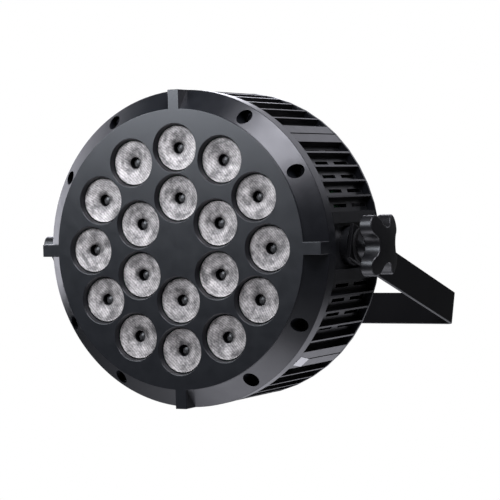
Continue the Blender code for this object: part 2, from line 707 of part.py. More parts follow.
# ---------------------------------------------------------------- inside of the head
def make_heat_sink():
    """A finned aluminium plate behind the light board, cut round to fit the housing."""
    plate_back = SINK_FRONT + SINK_PLATE
    half_comb = (SINK_FINS - 1) / 2 * SINK_FIN_PITCH
    half_width = SINK_RADIUS + LONG_CUT
    points = [(-half_width, -SINK_FRONT), (-half_width, -plate_back)]
    for i in range(SINK_FINS):
        x = -half_comb + i * SINK_FIN_PITCH
        left, right = x - SINK_FIN_THICKNESS / 2, x + SINK_FIN_THICKNESS / 2
        points += [(left, -plate_back), (left, -SINK_BACK), (right, -SINK_BACK), (right, -plate_back)]
    points += [(half_width, -plate_back), (half_width, -SINK_FRONT)]
    sink = sheet("heat_sink", points, -half_width, half_width, HEAD_FRAME, ALUMINIUM, (-90, 0, 0))
    # The comb is drawn in X and Y and stood up, so its Y is the head's -Z.
    for vertex in sink.data.vertices:
        vertex.co.y = -vertex.co.y
    sink.data.flip_normals()
    round_blank = rod("sink_blank", SINK_RADIUS, -SINK_BACK, -SINK_FRONT, HEAD_FRAME, None, sides=BEZEL_SIDES)
    # The blank is longer than the comb, so that no two faces lie in one plane.
    for vertex in round_blank.data.vertices:
        vertex.co.z += LONG_CUT if vertex.co.z > -(SINK_FRONT + SINK_BACK) / 2 else -LONG_CUT
    combine(sink, round_blank, "INTERSECT")


def make_fan():
    """A square fan frame behind the heat sink, with its motor mount, and the rotor."""
    inner_radius = FAN_SIZE / 2 - FAN_WALL
    middle = (*FAN_CENTRE, -(FAN_FRONT + FAN_BACK) / 2)
    fan = box("fan_frame", (FAN_SIZE, FAN_SIZE, FAN_DEPTH), middle, HEAD_FRAME, SOCKET)
    mount_front = -FAN_BACK + FAN_MOUNT_THICKNESS

    def duct(bm):
        put_rod(bm, inner_radius, -FAN_BACK - LONG_CUT, -FAN_FRONT + LONG_CUT, FAN_CENTRE, 2 * TURN_SIDES)

    cut(fan, duct, "fan_duct")

    def mount(bm):
        put_rod(bm, FAN_HUB_RADIUS, -FAN_BACK, mount_front, FAN_CENTRE, TURN_SIDES)

    join(fan, mount, "fan_mount")
    span = FAN_SIZE - FAN_WALL
    for number, size in enumerate(((span, FAN_STRUT_WIDTH), (FAN_STRUT_WIDTH, span))):

        def strut(bm, size=size):
            put_box(bm, (*size, FAN_STRUT_DEPTH), (*FAN_CENTRE, -FAN_BACK + FAN_MOUNT_THICKNESS / 2))

        join(fan, strut, f"fan_strut_{number + 1}")
    make_rotor(inner_radius - FAN_TIP_GAP, mount_front + SLIDE_GAP)


def make_rotor(tip_radius, back):
    """The fan's hub and blades, turning about the fan's own axis."""
    front = -FAN_FRONT - FAN_WALL
    axis = frame("fan_axis", (*FAN_CENTRE, 0), parent=HEAD_FRAME)
    rotor = rod("fan_rotor", FAN_HUB_RADIUS, back, front, axis, SOCKET, sides=TURN_SIDES)
    length = tip_radius - FAN_HUB_RADIUS / 2
    width = (front - back) * FAN_BLADE_SHARE

    def blades(bm):
        for i in range(FAN_BLADES):
            turn = Matrix.Rotation(2 * math.pi * i / FAN_BLADES, 4, "Z")
            move = Matrix.Translation((tip_radius - length / 2, 0, (front + back) / 2))
            pitch = Matrix.Rotation(math.radians(FAN_BLADE_PITCH), 4, "X")
            size = Matrix.Diagonal((length, FAN_BLADE_THICKNESS, width, 1))
            bmesh.ops.create_cube(bm, size=1, matrix=turn @ move @ pitch @ size)

    join(rotor, blades, "fan_blades")


def post_places(centre):
    half_x, half_y = PCB_SIZE[0] / 2 - POST_INSET, PCB_SIZE[1] / 2 - POST_INSET
    return [(centre[0] + x * half_x, centre[1] + y * half_y) for x in (-1, 1) for y in (-1, 1)]


def make_boards():
    """The mains power supply and the control board, both standing on the rear cover's posts."""
    pcb = (*PCB_SIZE, PCB_THICKNESS)
    depth = -PCB_BACK + PCB_THICKNESS / 2
    supply = box("power_supply", pcb, (*SUPPLY_CENTRE, depth), HEAD_FRAME, BOARD)

    def supply_parts(bm):
        for size, place in (TRANSFORMER, SUPPLY_SINK):
            put_on_board(bm, size, SUPPLY_CENTRE, place)
        for radius, height, place in CAPACITORS:
            centre = (SUPPLY_CENTRE[0] + place[0], SUPPLY_CENTRE[1] + place[1])
            put_rod(bm, radius, depth, depth + height, centre, POCKET_SIDES)

    join(supply, supply_parts, "supply_parts")
    control = box("control_board", pcb, (*CONTROL_CENTRE, depth), HEAD_FRAME, BOARD)

    def control_parts(bm):
        for size, place in (CONTROLLER, SIGNAL_HEADER, LIGHT_HEADER):
            put_on_board(bm, size, CONTROL_CENTRE, place)

    join(control, control_parts, "control_parts")


def put_on_board(bm, size, board_centre, place):
    """A box in bm that stands on the front of a board, with its foot inside the board."""
    foot = -PCB_BACK + PCB_THICKNESS / 2
    centre = (board_centre[0] + place[0], board_centre[1] + place[1], foot + size[2] / 2)
    put_box(bm, size, centre)


def make_display():
    """The display board with its digit block and four switches, and the window in front of it."""
    pcb_back = -DISPLAY_BACK
    middle = (*DISPLAY_PCB_CENTRE, pcb_back + DISPLAY_PCB[2] / 2)
    board = box("display_board", DISPLAY_PCB, middle, HEAD_FRAME, BOARD)
    window_front = COVER_FRONT + COVER_THICKNESS - GAP - WINDOW_THICKNESS
    block_depth = window_front - GAP - DISPLAY_BACK + DISPLAY_PCB[2] / 2
    switch_depth = BUTTON_INNER - BUTTON_TRAVEL - 2 * GAP - DISPLAY_BACK + DISPLAY_PCB[2] / 2
    inside = pcb_back + DISPLAY_PCB[2] / 2

    def on_board(bm):
        put_box(bm, (*DISPLAY_BLOCK, block_depth), (*DISPLAY_CENTRE, inside - block_depth / 2))
        for x in button_places():
            size = (SWITCH_SIZE, SWITCH_SIZE, switch_depth)
            put_box(bm, size, (x, BUTTON_ROW, inside - switch_depth / 2))

    join(board, on_board, "display_parts")
    width, height = (side - 2 * SLIDE_GAP for side in WINDOW_SIZE)
    depth = -window_front - WINDOW_THICKNESS / 2
    box("display_window", (width, height, WINDOW_THICKNESS), (*DISPLAY_CENTRE, depth), HEAD_FRAME, WINDOW)


def button_places():
    return [(i - (len(BUTTON_NAMES) - 1) / 2) * BUTTON_PITCH for i in range(len(BUTTON_NAMES))]


def make_buttons():
    """Four push buttons, each held behind the cover by its own flange."""
    outer = -COVER_FRONT - COVER_THICKNESS - BUTTON_PROUD
    flange_back = -COVER_FRONT + GAP
    for name, x in zip(BUTTON_NAMES, button_places()):
        turned(
            f"{name}_button",
            [
                (0, -BUTTON_INNER),
                (BUTTON_FLANGE_RADIUS, -BUTTON_INNER),
                (BUTTON_FLANGE_RADIUS, flange_back),
                (BUTTON_RADIUS, flange_back),
                (BUTTON_RADIUS, outer + BUTTON_EDGE),
                (BUTTON_RADIUS - BUTTON_EDGE, outer),
                (0, outer),
            ],
            frame(f"{name}_button_axis", (x, BUTTON_ROW, 0), parent=HEAD_FRAME),
            BUTTON,
            SCREW_SIDES,
        )


# ---------------------------------------------------------------- rear cover
def make_cover():
    """The round rear cover, with its skirt, grille, board posts and every opening for what it carries."""
    back = -COVER_FRONT - COVER_THICKNESS
    skirt_radius = WALL_INNER_RADIUS - GAP
    cover = turned(
        "rear_cover",
        [
            (0, -COVER_FRONT),
            (skirt_radius - SKIRT_WALL, -COVER_FRONT),
            (skirt_radius - SKIRT_WALL, -COVER_FRONT + SKIRT_DEPTH),
            (skirt_radius, -COVER_FRONT + SKIRT_DEPTH),
            (skirt_radius, -COVER_FRONT),
            (RIM_RADIUS, -COVER_FRONT),
            (RIM_RADIUS, back + COVER_CHAMFER),
            (RIM_RADIUS - COVER_CHAMFER, back),
            (0, back),
        ],
        HEAD_FRAME,
        SHELL,
        BEZEL_SIDES,
    )

    def posts(bm):
        for place in post_places(SUPPLY_CENTRE) + post_places(CONTROL_CENTRE):
            put_rod(bm, POST_RADIUS, -COVER_FRONT - COVER_THICKNESS / 2, -COVER_FRONT + POST_LENGTH, place)

    join(cover, posts, "cover_posts")
    inner, outer = -COVER_FRONT + LONG_CUT, back - LONG_CUT
    middle, depth = (inner + outer) / 2, inner - outer

    def grille(bm):
        for i in range(GRILLE_SLOTS):
            height = (i - (GRILLE_SLOTS - 1) / 2) * GRILLE_PITCH
            length = 2 * math.sqrt(GRILLE_RADIUS**2 - height**2)
            put_box(bm, (length, GRILLE_SLOT, depth), (FAN_CENTRE[0], FAN_CENTRE[1] + height, middle))

    cut(cover, grille, "grille_slots")

    def display_openings(bm):
        put_box(bm, (*WINDOW_SIZE, depth), (*DISPLAY_CENTRE, middle))
        for x in button_places():
            put_rod(bm, BUTTON_RADIUS + SLIDE_GAP, outer, inner, (x, BUTTON_ROW), HOLE_SIDES)

    cut(cover, display_openings, "display_openings")

    def connector_openings(bm):
        for x in (-CONNECTOR_OFFSET, CONNECTOR_OFFSET):
            put_rod(bm, SIGNAL_BARREL_RADIUS + 2 * GAP, outer, inner, (x, SIGNAL_ROW), SOCKET_SIDES)
            size = [side + 2 * GAP for side in POWER_BODY]
            put_box(bm, (*size, depth), (x, POWER_ROW, middle))

    cut(cover, connector_openings, "connector_openings")

    def latch_opening(bm):
        size = (LATCH_SIZE[0] + 4 * GAP, LATCH_SIZE[1] + 4 * GAP, depth)
        put_box(bm, size, (-CONNECTOR_OFFSET, SIGNAL_ROW + LATCH_HEIGHT, middle))

    cut(cover, latch_opening, "latch_opening")


# ---------------------------------------------------------------- connectors
def make_signal_sockets():
    """The two round data connectors: the inlet's open barrel, and the outlet with its core and latch."""
    flange_front = -BODY_DEPTH - GAP
    face = flange_front - FLANGE_THICKNESS
    for name, x in (("dmx_in", CONNECTOR_OFFSET), ("dmx_out", -CONNECTOR_OFFSET)):
        centre = (x, SIGNAL_ROW)
        flange = (*SIGNAL_FLANGE, FLANGE_THICKNESS)
        socket = box(name, flange, (*centre, flange_front - FLANGE_THICKNESS / 2), HEAD_FRAME, SOCKET)

        def barrel(bm, centre=centre):
            inner = -BODY_DEPTH + SIGNAL_BARREL_DEPTH
            put_rod(bm, SIGNAL_BARREL_RADIUS, face + FLANGE_THICKNESS / 2, inner, centre, SOCKET_SIDES)

        join(socket, barrel, name + "_barrel")

        def cavity(bm, centre=centre):
            floor = face + SIGNAL_CAVITY_DEPTH
            put_rod(bm, SIGNAL_CAVITY_RADIUS, face - LONG_CUT, floor, centre, SOCKET_SIDES)

        cut(socket, cavity, name + "_cavity")
        if name == "dmx_out":
            add_latch(socket, centre, face)


def add_latch(socket, centre, face):
    """The outlet's core, and the release tab in its own slot through the flange."""

    def core(bm):
        front = face + SIGNAL_CAVITY_DEPTH + FLANGE_THICKNESS / 2
        put_rod(bm, SIGNAL_CORE_RADIUS, face + FLANGE_THICKNESS / 2, front, centre, SOCKET_SIDES)

    join(socket, core, "dmx_out_core")
    place = (centre[0], centre[1] + LATCH_HEIGHT)

    def slot(bm):
        size = (LATCH_SIZE[0] + 2 * SLIDE_GAP, LATCH_SIZE[1] + 2 * SLIDE_GAP, 4 * LONG_CUT)
        put_box(bm, size, (*place, face))

    cut(socket, slot, "latch_slot")
    outer = face - LATCH_PRESSED_PROUD - LATCH_TRAVEL
    size = (*LATCH_SIZE, LATCH_LENGTH)
    box("dmx_out_latch", size, (*place, outer + LATCH_LENGTH / 2), HEAD_FRAME, STEEL)


def make_power_sockets():
    """The mains inlet with its fuse drawer, and the mains outlet that feeds the next lamp."""
    flange_front = -BODY_DEPTH - GAP
    face = flange_front - FLANGE_THICKNESS
    sockets = {}
    for name, x in (("power_inlet", CONNECTOR_OFFSET), ("power_outlet", -CONNECTOR_OFFSET)):
        centre = (x, POWER_ROW)
        flange = (*POWER_FLANGE, FLANGE_THICKNESS)
        socket = box(name, flange, (*centre, flange_front - FLANGE_THICKNESS / 2), HEAD_FRAME, SOCKET)

        def body(bm, centre=centre):
            outer, inner = face + FLANGE_THICKNESS / 2, -BODY_DEPTH + POWER_BODY_DEPTH
            put_box(bm, (*POWER_BODY, inner - outer), (*centre, (inner + outer) / 2))

        join(socket, body, name + "_body")
        sockets[name] = (socket, centre)

    inlet, (x, y) = sockets["power_inlet"]

    def inlet_hollows(bm):
        depth = POWER_CAVITY_DEPTH + LONG_CUT
        middle = face - LONG_CUT + depth / 2
        put_box(bm, (*POWER_CAVITY, depth), (x, y + POWER_CAVITY_HEIGHT, middle))
        size = [side + 2 * SLIDE_GAP for side in DRAWER_SIZE]
        depth = DRAWER_LENGTH + GAP + LONG_CUT - DRAWER_PROUD
        put_box(bm, (*size, depth), (x, y + DRAWER_HEIGHT, face - LONG_CUT + depth / 2))

    cut(inlet, inlet_hollows, "inlet_hollows")
    size = (*DRAWER_SIZE, DRAWER_LENGTH)
    middle = face - DRAWER_PROUD + DRAWER_LENGTH / 2
    box("fuse_drawer", size, (x, y + DRAWER_HEIGHT, middle), HEAD_FRAME, SOCKET)

    outlet, (x, y) = sockets["power_outlet"]

    def outlet_hollow(bm):
        size = [side + 2 * OUTLET_GROOVE for side in OUTLET_TOWER]
        depth = POWER_CAVITY_DEPTH + LONG_CUT
        put_box(bm, (*size, depth), (x, y, face - LONG_CUT + depth / 2))

    cut(outlet, outlet_hollow, "outlet_hollow")

    def outlet_tower(bm):
        depth = POWER_CAVITY_DEPTH + FLANGE_THICKNESS / 2
        put_box(bm, (*OUTLET_TOWER, depth), (x, y, face + depth / 2 + FLANGE_THICKNESS / 4))

    join(outlet, outlet_tower, "outlet_tower")

    def outlet_contacts(bm):
        for step in (-1, 0, 1):
            height = OUTLET_LINE_HEIGHT if step else OUTLET_EARTH_HEIGHT
            place = (x + step * OUTLET_PIN_PITCH, y + height, face)
            put_box(bm, (*OUTLET_PIN_SLOT, POWER_CAVITY_DEPTH), place)

    cut(outlet, outlet_contacts, "outlet_contacts")


def make_safety_eye():
    """A wire loop welded to a small plate, for the safety cable."""
    plate_front = -BODY_DEPTH - GAP
    plate_face = plate_front - EYE_PLATE_THICKNESS
    middle = (*EYE_CENTRE, plate_front - EYE_PLATE_THICKNESS / 2)
    eye = box("safety_eye", (*EYE_PLATE, EYE_PLATE_THICKNESS), middle, HEAD_FRAME, STEEL)
    curve = bpy.data.curves.new("safety_loop", "CURVE")
    curve.dimensions = "3D"
    curve.bevel_depth = EYE_WIRE_RADIUS
    curve.bevel_resolution = 2
    curve.use_fill_caps = True
    foot = plate_face + EYE_PLATE_THICKNESS / 2
    crown = plate_face - EYE_STANDOFF
    path = [(-EYE_HALF_WIDTH, foot), *((x, crown - y) for x, y in reversed(arc(EYE_HALF_WIDTH, 0, 180, 30)))]
    path.append((EYE_HALF_WIDTH, foot))
    spline = curve.splines.new("POLY")
    spline.points.add(len(path) - 1)
    for point, (x, z) in zip(spline.points, path):
        point.co = (x, 0, z, 1)
    loop = curve_to_mesh("safety_loop", curve, HEAD_FRAME, None, (*EYE_CENTRE, 0))
    combine(eye, loop, "UNION")


# ---------------------------------------------------------------- yoke and clamps
def yoke_outline():
    """The bent strip seen from above: X across, Y towards the cross bar, whose outer face is at Y = 0."""
    end = -YOKE_REACH - YOKE_END
    outer_corner = (ARM_OUTER - YOKE_BEND_RADIUS, -YOKE_BEND_RADIUS)
    inner_radius = YOKE_BEND_RADIUS - YOKE_THICKNESS
    bend = [angle * 90 / BEND_STEPS for angle in range(BEND_STEPS + 1)]

    def corner(radius):
        return [
            (outer_corner[0] + x, outer_corner[1] + y) for x, y in (at_angle(radius, angle) for angle in bend)
        ]

    right = [(ARM_OUTER, end), *corner(YOKE_BEND_RADIUS)]
    inside = [(ARM_INNER, end), *corner(inner_radius)]
    left = [(-x, y) for x, y in reversed(right)]
    inside_left = [(-x, y) for x, y in inside]
    return right + left + inside_left + list(reversed(inside))


def make_yoke():
    """One bent strip: two arms and a cross bar, with the clamp bolt's hole in its middle."""
    half = YOKE_WIDTH / 2
    yoke = sheet("yoke", yoke_outline(), -half, half, YOKE_FRAME, STEEL_PAINT)
    shade(yoke)
    across = Matrix.Rotation(math.radians(90), 4, "Y")
    along = Matrix.Rotation(math.radians(90), 4, "X")

    def hole(bm, radius, place, turn, length):
        bmesh.ops.create_cone(
            bm,
            cap_ends=True,
            segments=TURN_SIDES,
            radius1=radius,
            radius2=radius,
            depth=length,
            matrix=Matrix.Translation(place) @ turn,
        )

    def holes(bm):
        for side in (-1, 1):
            place = (side * (ARM_INNER + ARM_OUTER) / 2, -YOKE_REACH, 0)
            hole(bm, STUD_RADIUS + 2 * STUD_TURNING_GAP, place, across, 2 * LONG_CUT)
            place = (side * YOKE_SMALL_HOLE_OFFSET, -YOKE_THICKNESS / 2, 0)
            hole(bm, YOKE_SMALL_HOLE_RADIUS, place, along, 2 * LONG_CUT)
        hole(bm, YOKE_BOLT_RADIUS, (0, -YOKE_THICKNESS / 2, 0), along, 2 * LONG_CUT)

    cut(yoke, holes, "yoke_holes")

    def end_corners(bm):
        """Boxes turned by 45 degrees that trim the corners of both arms' ends."""
        size = 4 * YOKE_CHAMFER
        for side in (-1, 1):
            for edge in (-1, 1):
                reach = size / math.sqrt(2) - YOKE_CHAMFER / 2
                arm_middle = side * (ARM_INNER + ARM_OUTER) / 2
                place = (arm_middle, -YOKE_REACH - YOKE_END - reach, edge * (half + reach))
                corner = Matrix.Translation(place) @ Matrix.Rotation(math.radians(45), 4, "X")
                sides = Matrix.Diagonal((2 * LONG_CUT, size * math.sqrt(2), size * math.sqrt(2), 1))
                bmesh.ops.create_cube(bm, size=1, matrix=corner @ sides)

    cut(yoke, end_corners, "yoke_end_corners")


def knob_outline():
    """A four-lobed outline: round tips joined by round notches."""
    tip_centre = KNOB_RADIUS - KNOB_TIP_RADIUS
    half_pitch = 180 / KNOB_LOBES
    # The notch's circle touches two neighbouring tips and passes KNOB_NOTCH_RADIUS from the axis.
    x, y = at_angle(tip_centre, half_pitch)
    reach = KNOB_NOTCH_RADIUS
    notch_radius = ((x - reach) ** 2 + y**2 - KNOB_TIP_RADIUS**2) / (2 * (KNOB_TIP_RADIUS + x - reach))
    notch_centre = reach + notch_radius
    touch = math.degrees(math.atan2(y, notch_centre - x))
    points = []
    for lobe in range(KNOB_LOBES):
        middle = lobe * 2 * half_pitch
        lobe_x, lobe_y = at_angle(tip_centre, middle)
        swing = half_pitch + touch
        tip = arc(KNOB_TIP_RADIUS, middle - swing, middle + swing, KNOB_ARC_STEP)
        points += [(lobe_x + a, lobe_y + b) for a, b in tip]
        notch = middle + half_pitch
        notch_x, notch_y = at_angle(notch_centre, notch)
        turn = arc(notch_radius, notch + 180 + touch, notch + 180 - touch, KNOB_ARC_STEP)
        points += [(notch_x + a, notch_y + b) for a, b in turn[1:-1]]
    return points


def make_clamps():
    """On each side: a threaded insert in the head, a washer, and a lobed knob with its stud."""
    for side, axis in CLAMP_FRAMES.items():
        bore = STUD_RADIUS + STUD_TURNING_GAP
        turned(
            f"{side}_insert",
            [
                (bore, PAD_BOSS_FACE - GAP),
                (INSERT_RADIUS, PAD_BOSS_FACE - GAP),
                (INSERT_RADIUS, INSERT_SEAT),
                (INSERT_FLANGE_RADIUS, INSERT_SEAT),
                (INSERT_FLANGE_RADIUS, INSERT_INNER),
                (bore, INSERT_INNER),
            ],
            axis,
            BRASS,
            closed=True,
        )
        turned(
            f"{side}_washer",
            [
                (bore, WASHER_INNER_FACE + WASHER_THICKNESS),
                (WASHER_RADIUS, WASHER_INNER_FACE + WASHER_THICKNESS),
                (WASHER_RADIUS, WASHER_INNER_FACE),
                (bore, WASHER_INNER_FACE),
            ],
            axis,
            RUBBER,
            closed=True,
        )
        stud_end = KNOB_INNER_FACE + KNOB_CORE
        rod(f"{side}_stud", STUD_RADIUS, INSERT_INNER + GAP, stud_end, axis, STEEL, sides=TURN_SIDES)
        make_knob(side, axis, stud_end)


def crown_profile(back, outer):
    """A domed blank as wide as the knob: its face falls away from the middle as the radius squared."""
    face = []
    for i in range(KNOB_CROWN_RINGS + 2):
        share = i / KNOB_CROWN_RINGS
        face.append((share * KNOB_RADIUS, outer + KNOB_CROWN * (1 - share**2)))
    return [*face, (face[-1][0], back - LONG_CUT), (0, back - LONG_CUT)]


def make_knob(side, axis, stud_end):
    turn = (0, 0, KNOB_TURN[side])
    back = KNOB_INNER_FACE + KNOB_HUB_LENGTH[side]
    outer = back + KNOB_THICKNESS
    blank = outer + KNOB_CROWN + LONG_CUT
    knob = sheet(f"{side}_knob", knob_outline(), back, blank, axis, KNOB_PLASTIC, turn)
    shade(knob)
    edge = knob.modifiers.new("edge", "BEVEL")
    edge.width = KNOB_EDGE
    edge.segments = 1
    edge.limit_method = "ANGLE"
    edge.angle_limit = math.radians(60)
    crown = turned(f"{side}_knob_crown", crown_profile(back, outer), axis, None, 2 * TURN_SIDES)
    combine(knob, crown, "INTERSECT")

    def hub(bm):
        front = back + KNOB_THICKNESS / 3
        put_rod(bm, KNOB_HUB_RADIUS, KNOB_INNER_FACE, front, sides=TURN_SIDES)

    join(knob, hub, f"{side}_knob_hub")

    def core(bm):
        put_rod(bm, STUD_RADIUS + GAP, KNOB_INNER_FACE - LONG_CUT, stud_end + GAP, sides=TURN_SIDES)

    cut(knob, core, f"{side}_knob_core")


# ---------------------------------------------------------------- the whole lamp
make_bezel()
make_lenses()
make_light_board()
make_bezel_screws()
make_panel("side_panel_right", 0, True)
make_panel("top_panel", 90, False)
make_panel("side_panel_left", 180, True)
make_panel("bottom_panel", 270, False)
make_heat_sink()
make_fan()
make_boards()
make_display()
make_buttons()
make_cover()
make_signal_sockets()
make_power_sockets()
make_safety_eye()
make_yoke()
make_clamps()
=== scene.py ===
# %% [markdown]
# # An LED par can, finished piece by piece
# A par can is a stage flood light. This one is a flat drum: a black moulded front with eighteen lenses, a
# housing made of four finned quarters, a round rear cover with the sockets, and a U-shaped yoke clamped by
# two star knobs. The engineering model already holds every piece in its right place. This lesson gives those
# pieces their finish, and builds finer meshes where a real moulding has small rounded edges that the
# engineering model leaves out.

# %% Load the engineering model
import math

import bmesh
import bpy
from mathutils import Matrix, Vector


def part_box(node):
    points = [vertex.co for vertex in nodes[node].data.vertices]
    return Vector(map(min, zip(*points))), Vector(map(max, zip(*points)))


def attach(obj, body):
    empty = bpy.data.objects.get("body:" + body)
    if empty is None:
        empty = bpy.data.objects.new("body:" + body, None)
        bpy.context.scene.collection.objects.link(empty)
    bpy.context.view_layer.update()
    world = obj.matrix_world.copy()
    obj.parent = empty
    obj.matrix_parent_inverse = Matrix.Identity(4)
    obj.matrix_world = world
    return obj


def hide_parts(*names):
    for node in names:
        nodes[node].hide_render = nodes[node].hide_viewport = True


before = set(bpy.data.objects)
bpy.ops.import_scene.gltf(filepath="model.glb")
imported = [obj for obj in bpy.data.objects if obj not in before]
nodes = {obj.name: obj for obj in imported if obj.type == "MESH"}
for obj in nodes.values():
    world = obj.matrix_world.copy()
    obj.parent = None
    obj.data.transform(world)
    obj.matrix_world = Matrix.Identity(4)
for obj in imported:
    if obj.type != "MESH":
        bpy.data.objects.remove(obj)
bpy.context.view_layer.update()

# %% [markdown]
# ## Where the head is
# The light shines along -Y, and the drum's axis runs through the middle of the bezel. Every piece of the head
# is easiest to draw in the drum's own frame: its Z points the way the light shines and its Y points up. A
# matrix then carries the finished piece to its place. The bezel's box gives the axis, the front and the rim's
# radius.

# %% The head's own frame
MM = 0.001
bezel_low, bezel_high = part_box("front_bezel")
rim_radius = (bezel_high.x - bezel_low.x) / 2
axis_height = (bezel_high.z + bezel_low.z) / 2
front = bezel_low.y
body_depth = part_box("rear_cover")[1].y - front
bezel_depth = bezel_high.y - front
head_matrix = Matrix.Translation((0, front, axis_height)) @ Matrix.Rotation(math.pi / 2, 4, "X")
washer_low, washer_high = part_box("right_washer")
pivot = Vector((0, (washer_low.y + washer_high.y) / 2, axis_height))
print(f"rim radius {rim_radius / MM:.1f} mm, head depth {body_depth / MM:.1f} mm")
print(f"the tilt axis is {(pivot.y - front) / MM:.1f} mm behind the front")

# %% [markdown]
# ## Shader arithmetic that reads like arithmetic
# Blender's shader maths is a web of small nodes, which is slow to read in a script. The class below wraps one
# output socket and gives it Python's operators, so that `0.3 + 0.2 * grain` builds the two Math nodes by
# itself. Colours and vectors have their own nodes, Mix and Vector Math, because a Math node would turn a
# colour grey.

# %% Wrap a socket
class Wire:
    """One output socket, with arithmetic. Every operator adds one Math node to the same finish."""

    def __init__(self, finish, socket):
        self.finish = finish
        self.socket = socket

    def calculate(self, operation, *values):
        return self.finish.node("ShaderNodeMath", {"operation": operation}, dict(enumerate(values)))

    def __add__(self, other):
        return self.calculate("ADD", self, other)

    def __sub__(self, other):
        return self.calculate("SUBTRACT", self, other)

    def __rsub__(self, other):
        return self.calculate("SUBTRACT", other, self)

    def __mul__(self, other):
        return self.calculate("MULTIPLY", self, other)

    def __truediv__(self, other):
        return self.calculate("DIVIDE", self, other)

    def __rtruediv__(self, other):
        return self.calculate("DIVIDE", other, self)

    def __pow__(self, other):
        return self.calculate("POWER", self, other)

    def __rpow__(self, other):
        return self.calculate("POWER", other, self)

    def at_most(self, other):
        return self.calculate("MINIMUM", self, other)

    def at_least(self, other):
        return self.calculate("MAXIMUM", self, other)

    __radd__ = __add__
    __rmul__ = __mul__


# %% [markdown]
# ## A finish is a material with a short recipe
# Each real surface here is a moulding, a casting, a sheet or a rubbery part, and each gets its own recipe.
# One method adds any node: it takes the node's type, the settings that must come first, and the values or
# links of its sockets. Three more names the things that nearly every recipe needs: a place on the piece, a
# fine noise, and a blend of two colours.

# %% Build finishes
class Finish:
    """A material whose nodes are added by short expressions."""

    def __init__(self, name, **constants):
        self.material = bpy.data.materials.new(name)
        self.material.use_nodes = True
        self.tree = self.material.node_tree
        self.shader = self.tree.nodes["Principled BSDF"]
        self.place = self.node("ShaderNodeTexCoord", output="Object")
        self.set(**constants)

    def node(self, kind, settings=None, sockets=None, output=0):
        made = self.tree.nodes.new(kind)
        for key, value in (settings or {}).items():
            setattr(made, key, value)
        for key, value in (sockets or {}).items():
            self.join(value, made.inputs[key])
        return Wire(self, made.outputs[output])

    def join(self, value, socket):
        if isinstance(value, Wire):
            self.tree.links.new(value.socket, socket)
        else:
            socket.default_value = value

    def set(self, **values):
        """Sets sockets of the main shader. A name's words are joined by underscores: base_color."""
        for key, value in values.items():
            self.join(value, self.shader.inputs[key.replace("_", " ").title().replace("Ior", "IOR")])

    def noise(self, size, detail=2.0, roughness=0.5, place=None):
        """A soft random value from 0 to 1 whose lumps are about size metres across."""
        place = place or self.place
        sockets = {"Vector": place, "Scale": 1 / size, "Detail": detail, "Roughness": roughness}
        return self.node("ShaderNodeTexNoise", sockets=sockets)

    def cells(self, size, feature="F1"):
        sockets = {"Vector": self.place, "Scale": 1 / size}
        return self.node("ShaderNodeTexVoronoi", {"feature": feature}, sockets)

    def blend(self, share, first, second):
        """A colour between first and second. A Mix node's inputs 6 and 7 and its output 2 are colours."""
        sockets = {0: share, 6: colour(first), 7: colour(second)}
        return self.node("ShaderNodeMix", {"data_type": "RGBA"}, sockets, output=2)

    def scaled(self, factors):
        """The place on the piece, stretched along each axis by its own factor."""
        return self.node("ShaderNodeVectorMath", {"operation": "MULTIPLY"}, {0: self.place, 1: factors})

    def split(self):
        """The three coordinates of the place on the piece, each as a value."""
        parts = self.node("ShaderNodeSeparateXYZ", sockets={"Vector": self.place}).socket.node
        return [Wire(self, output) for output in parts.outputs]

    def bump(self, height, depth, strength):
        """Feeds the shader's Normal with a height of up to depth metres."""
        sockets = {"Height": height, "Distance": depth, "Strength": strength}
        self.set(normal=self.node("ShaderNodeBump", sockets=sockets))


def colour(value):
    """A grey number, an (r, g, b) or a Wire, ready for a colour socket."""
    if isinstance(value, Wire):
        return value
    if isinstance(value, (int, float)):
        return (value, value, value, 1.0)
    return (*value, 1.0)


def dress(piece, finish):
    """Gives a piece one finish all over."""
    piece.data.materials.clear()
    piece.data.materials.append(finish.material)
    return piece


# %% [markdown]
# ## Moulded black plastic
# The bezel, the fins and the rear cover come out of steel moulds whose faces were spark-eroded, which leaves
# a fine even grain. Under soft light that grain turns a mirror gloss into a wide satin sheen. The recipe is a
# dark, slightly blue grey, a noise of 0.3 mm for the grain, and a slow drift of gloss where the plastic
# flowed into the mould.

# %% Moulded shell finish
def moulded(name, tint, gloss, grain=0.35 * MM, depth=0.010 * MM):
    made = Finish(name, specular_ior_level=0.5)
    lumps = made.noise(grain, detail=3.0)
    flow = made.noise(9 * MM, detail=4.0, roughness=0.6)
    specks = made.noise(1.4 * MM, detail=1.0)
    dark = tuple(0.70 * part for part in tint)
    light = tuple(1.30 * part for part in tint)
    made.set(base_color=made.blend(0.55 * flow + 0.45 * specks, dark, light))
    made.set(roughness=gloss - 0.07 + 0.14 * flow + 0.03 * lumps)
    made.bump(lumps + 1.5 * flow, depth, 0.55)
    return made


shell_finish = moulded("satin_black_moulding", (0.0058, 0.0064, 0.0080), 0.32)
fin_finish = moulded("fin_moulding", (0.0055, 0.0058, 0.0066), 0.34)
socket_finish = moulded("socket_nylon", (0.013, 0.013, 0.014), 0.34, 0.5 * MM)
knob_finish = moulded("knob_nylon", (0.0040, 0.0040, 0.0046), 0.36, 0.45 * MM, 0.006 * MM)
print("moulded finishes:", [f.material.name for f in (shell_finish, fin_finish, socket_finish, knob_finish)])

# %% [markdown]
# ## Painted and plated metal
# The yoke is a bent steel strip with a baked powder coat. Powder melts into a skin with a fine orange-peel
# texture, so its gloss is broken up more coarsely than that of a moulding. Screws and the safety eye are zinc
# plated, which gives a bluish silver with soft cloudy patches. Brass is turned, so its marks run round it.

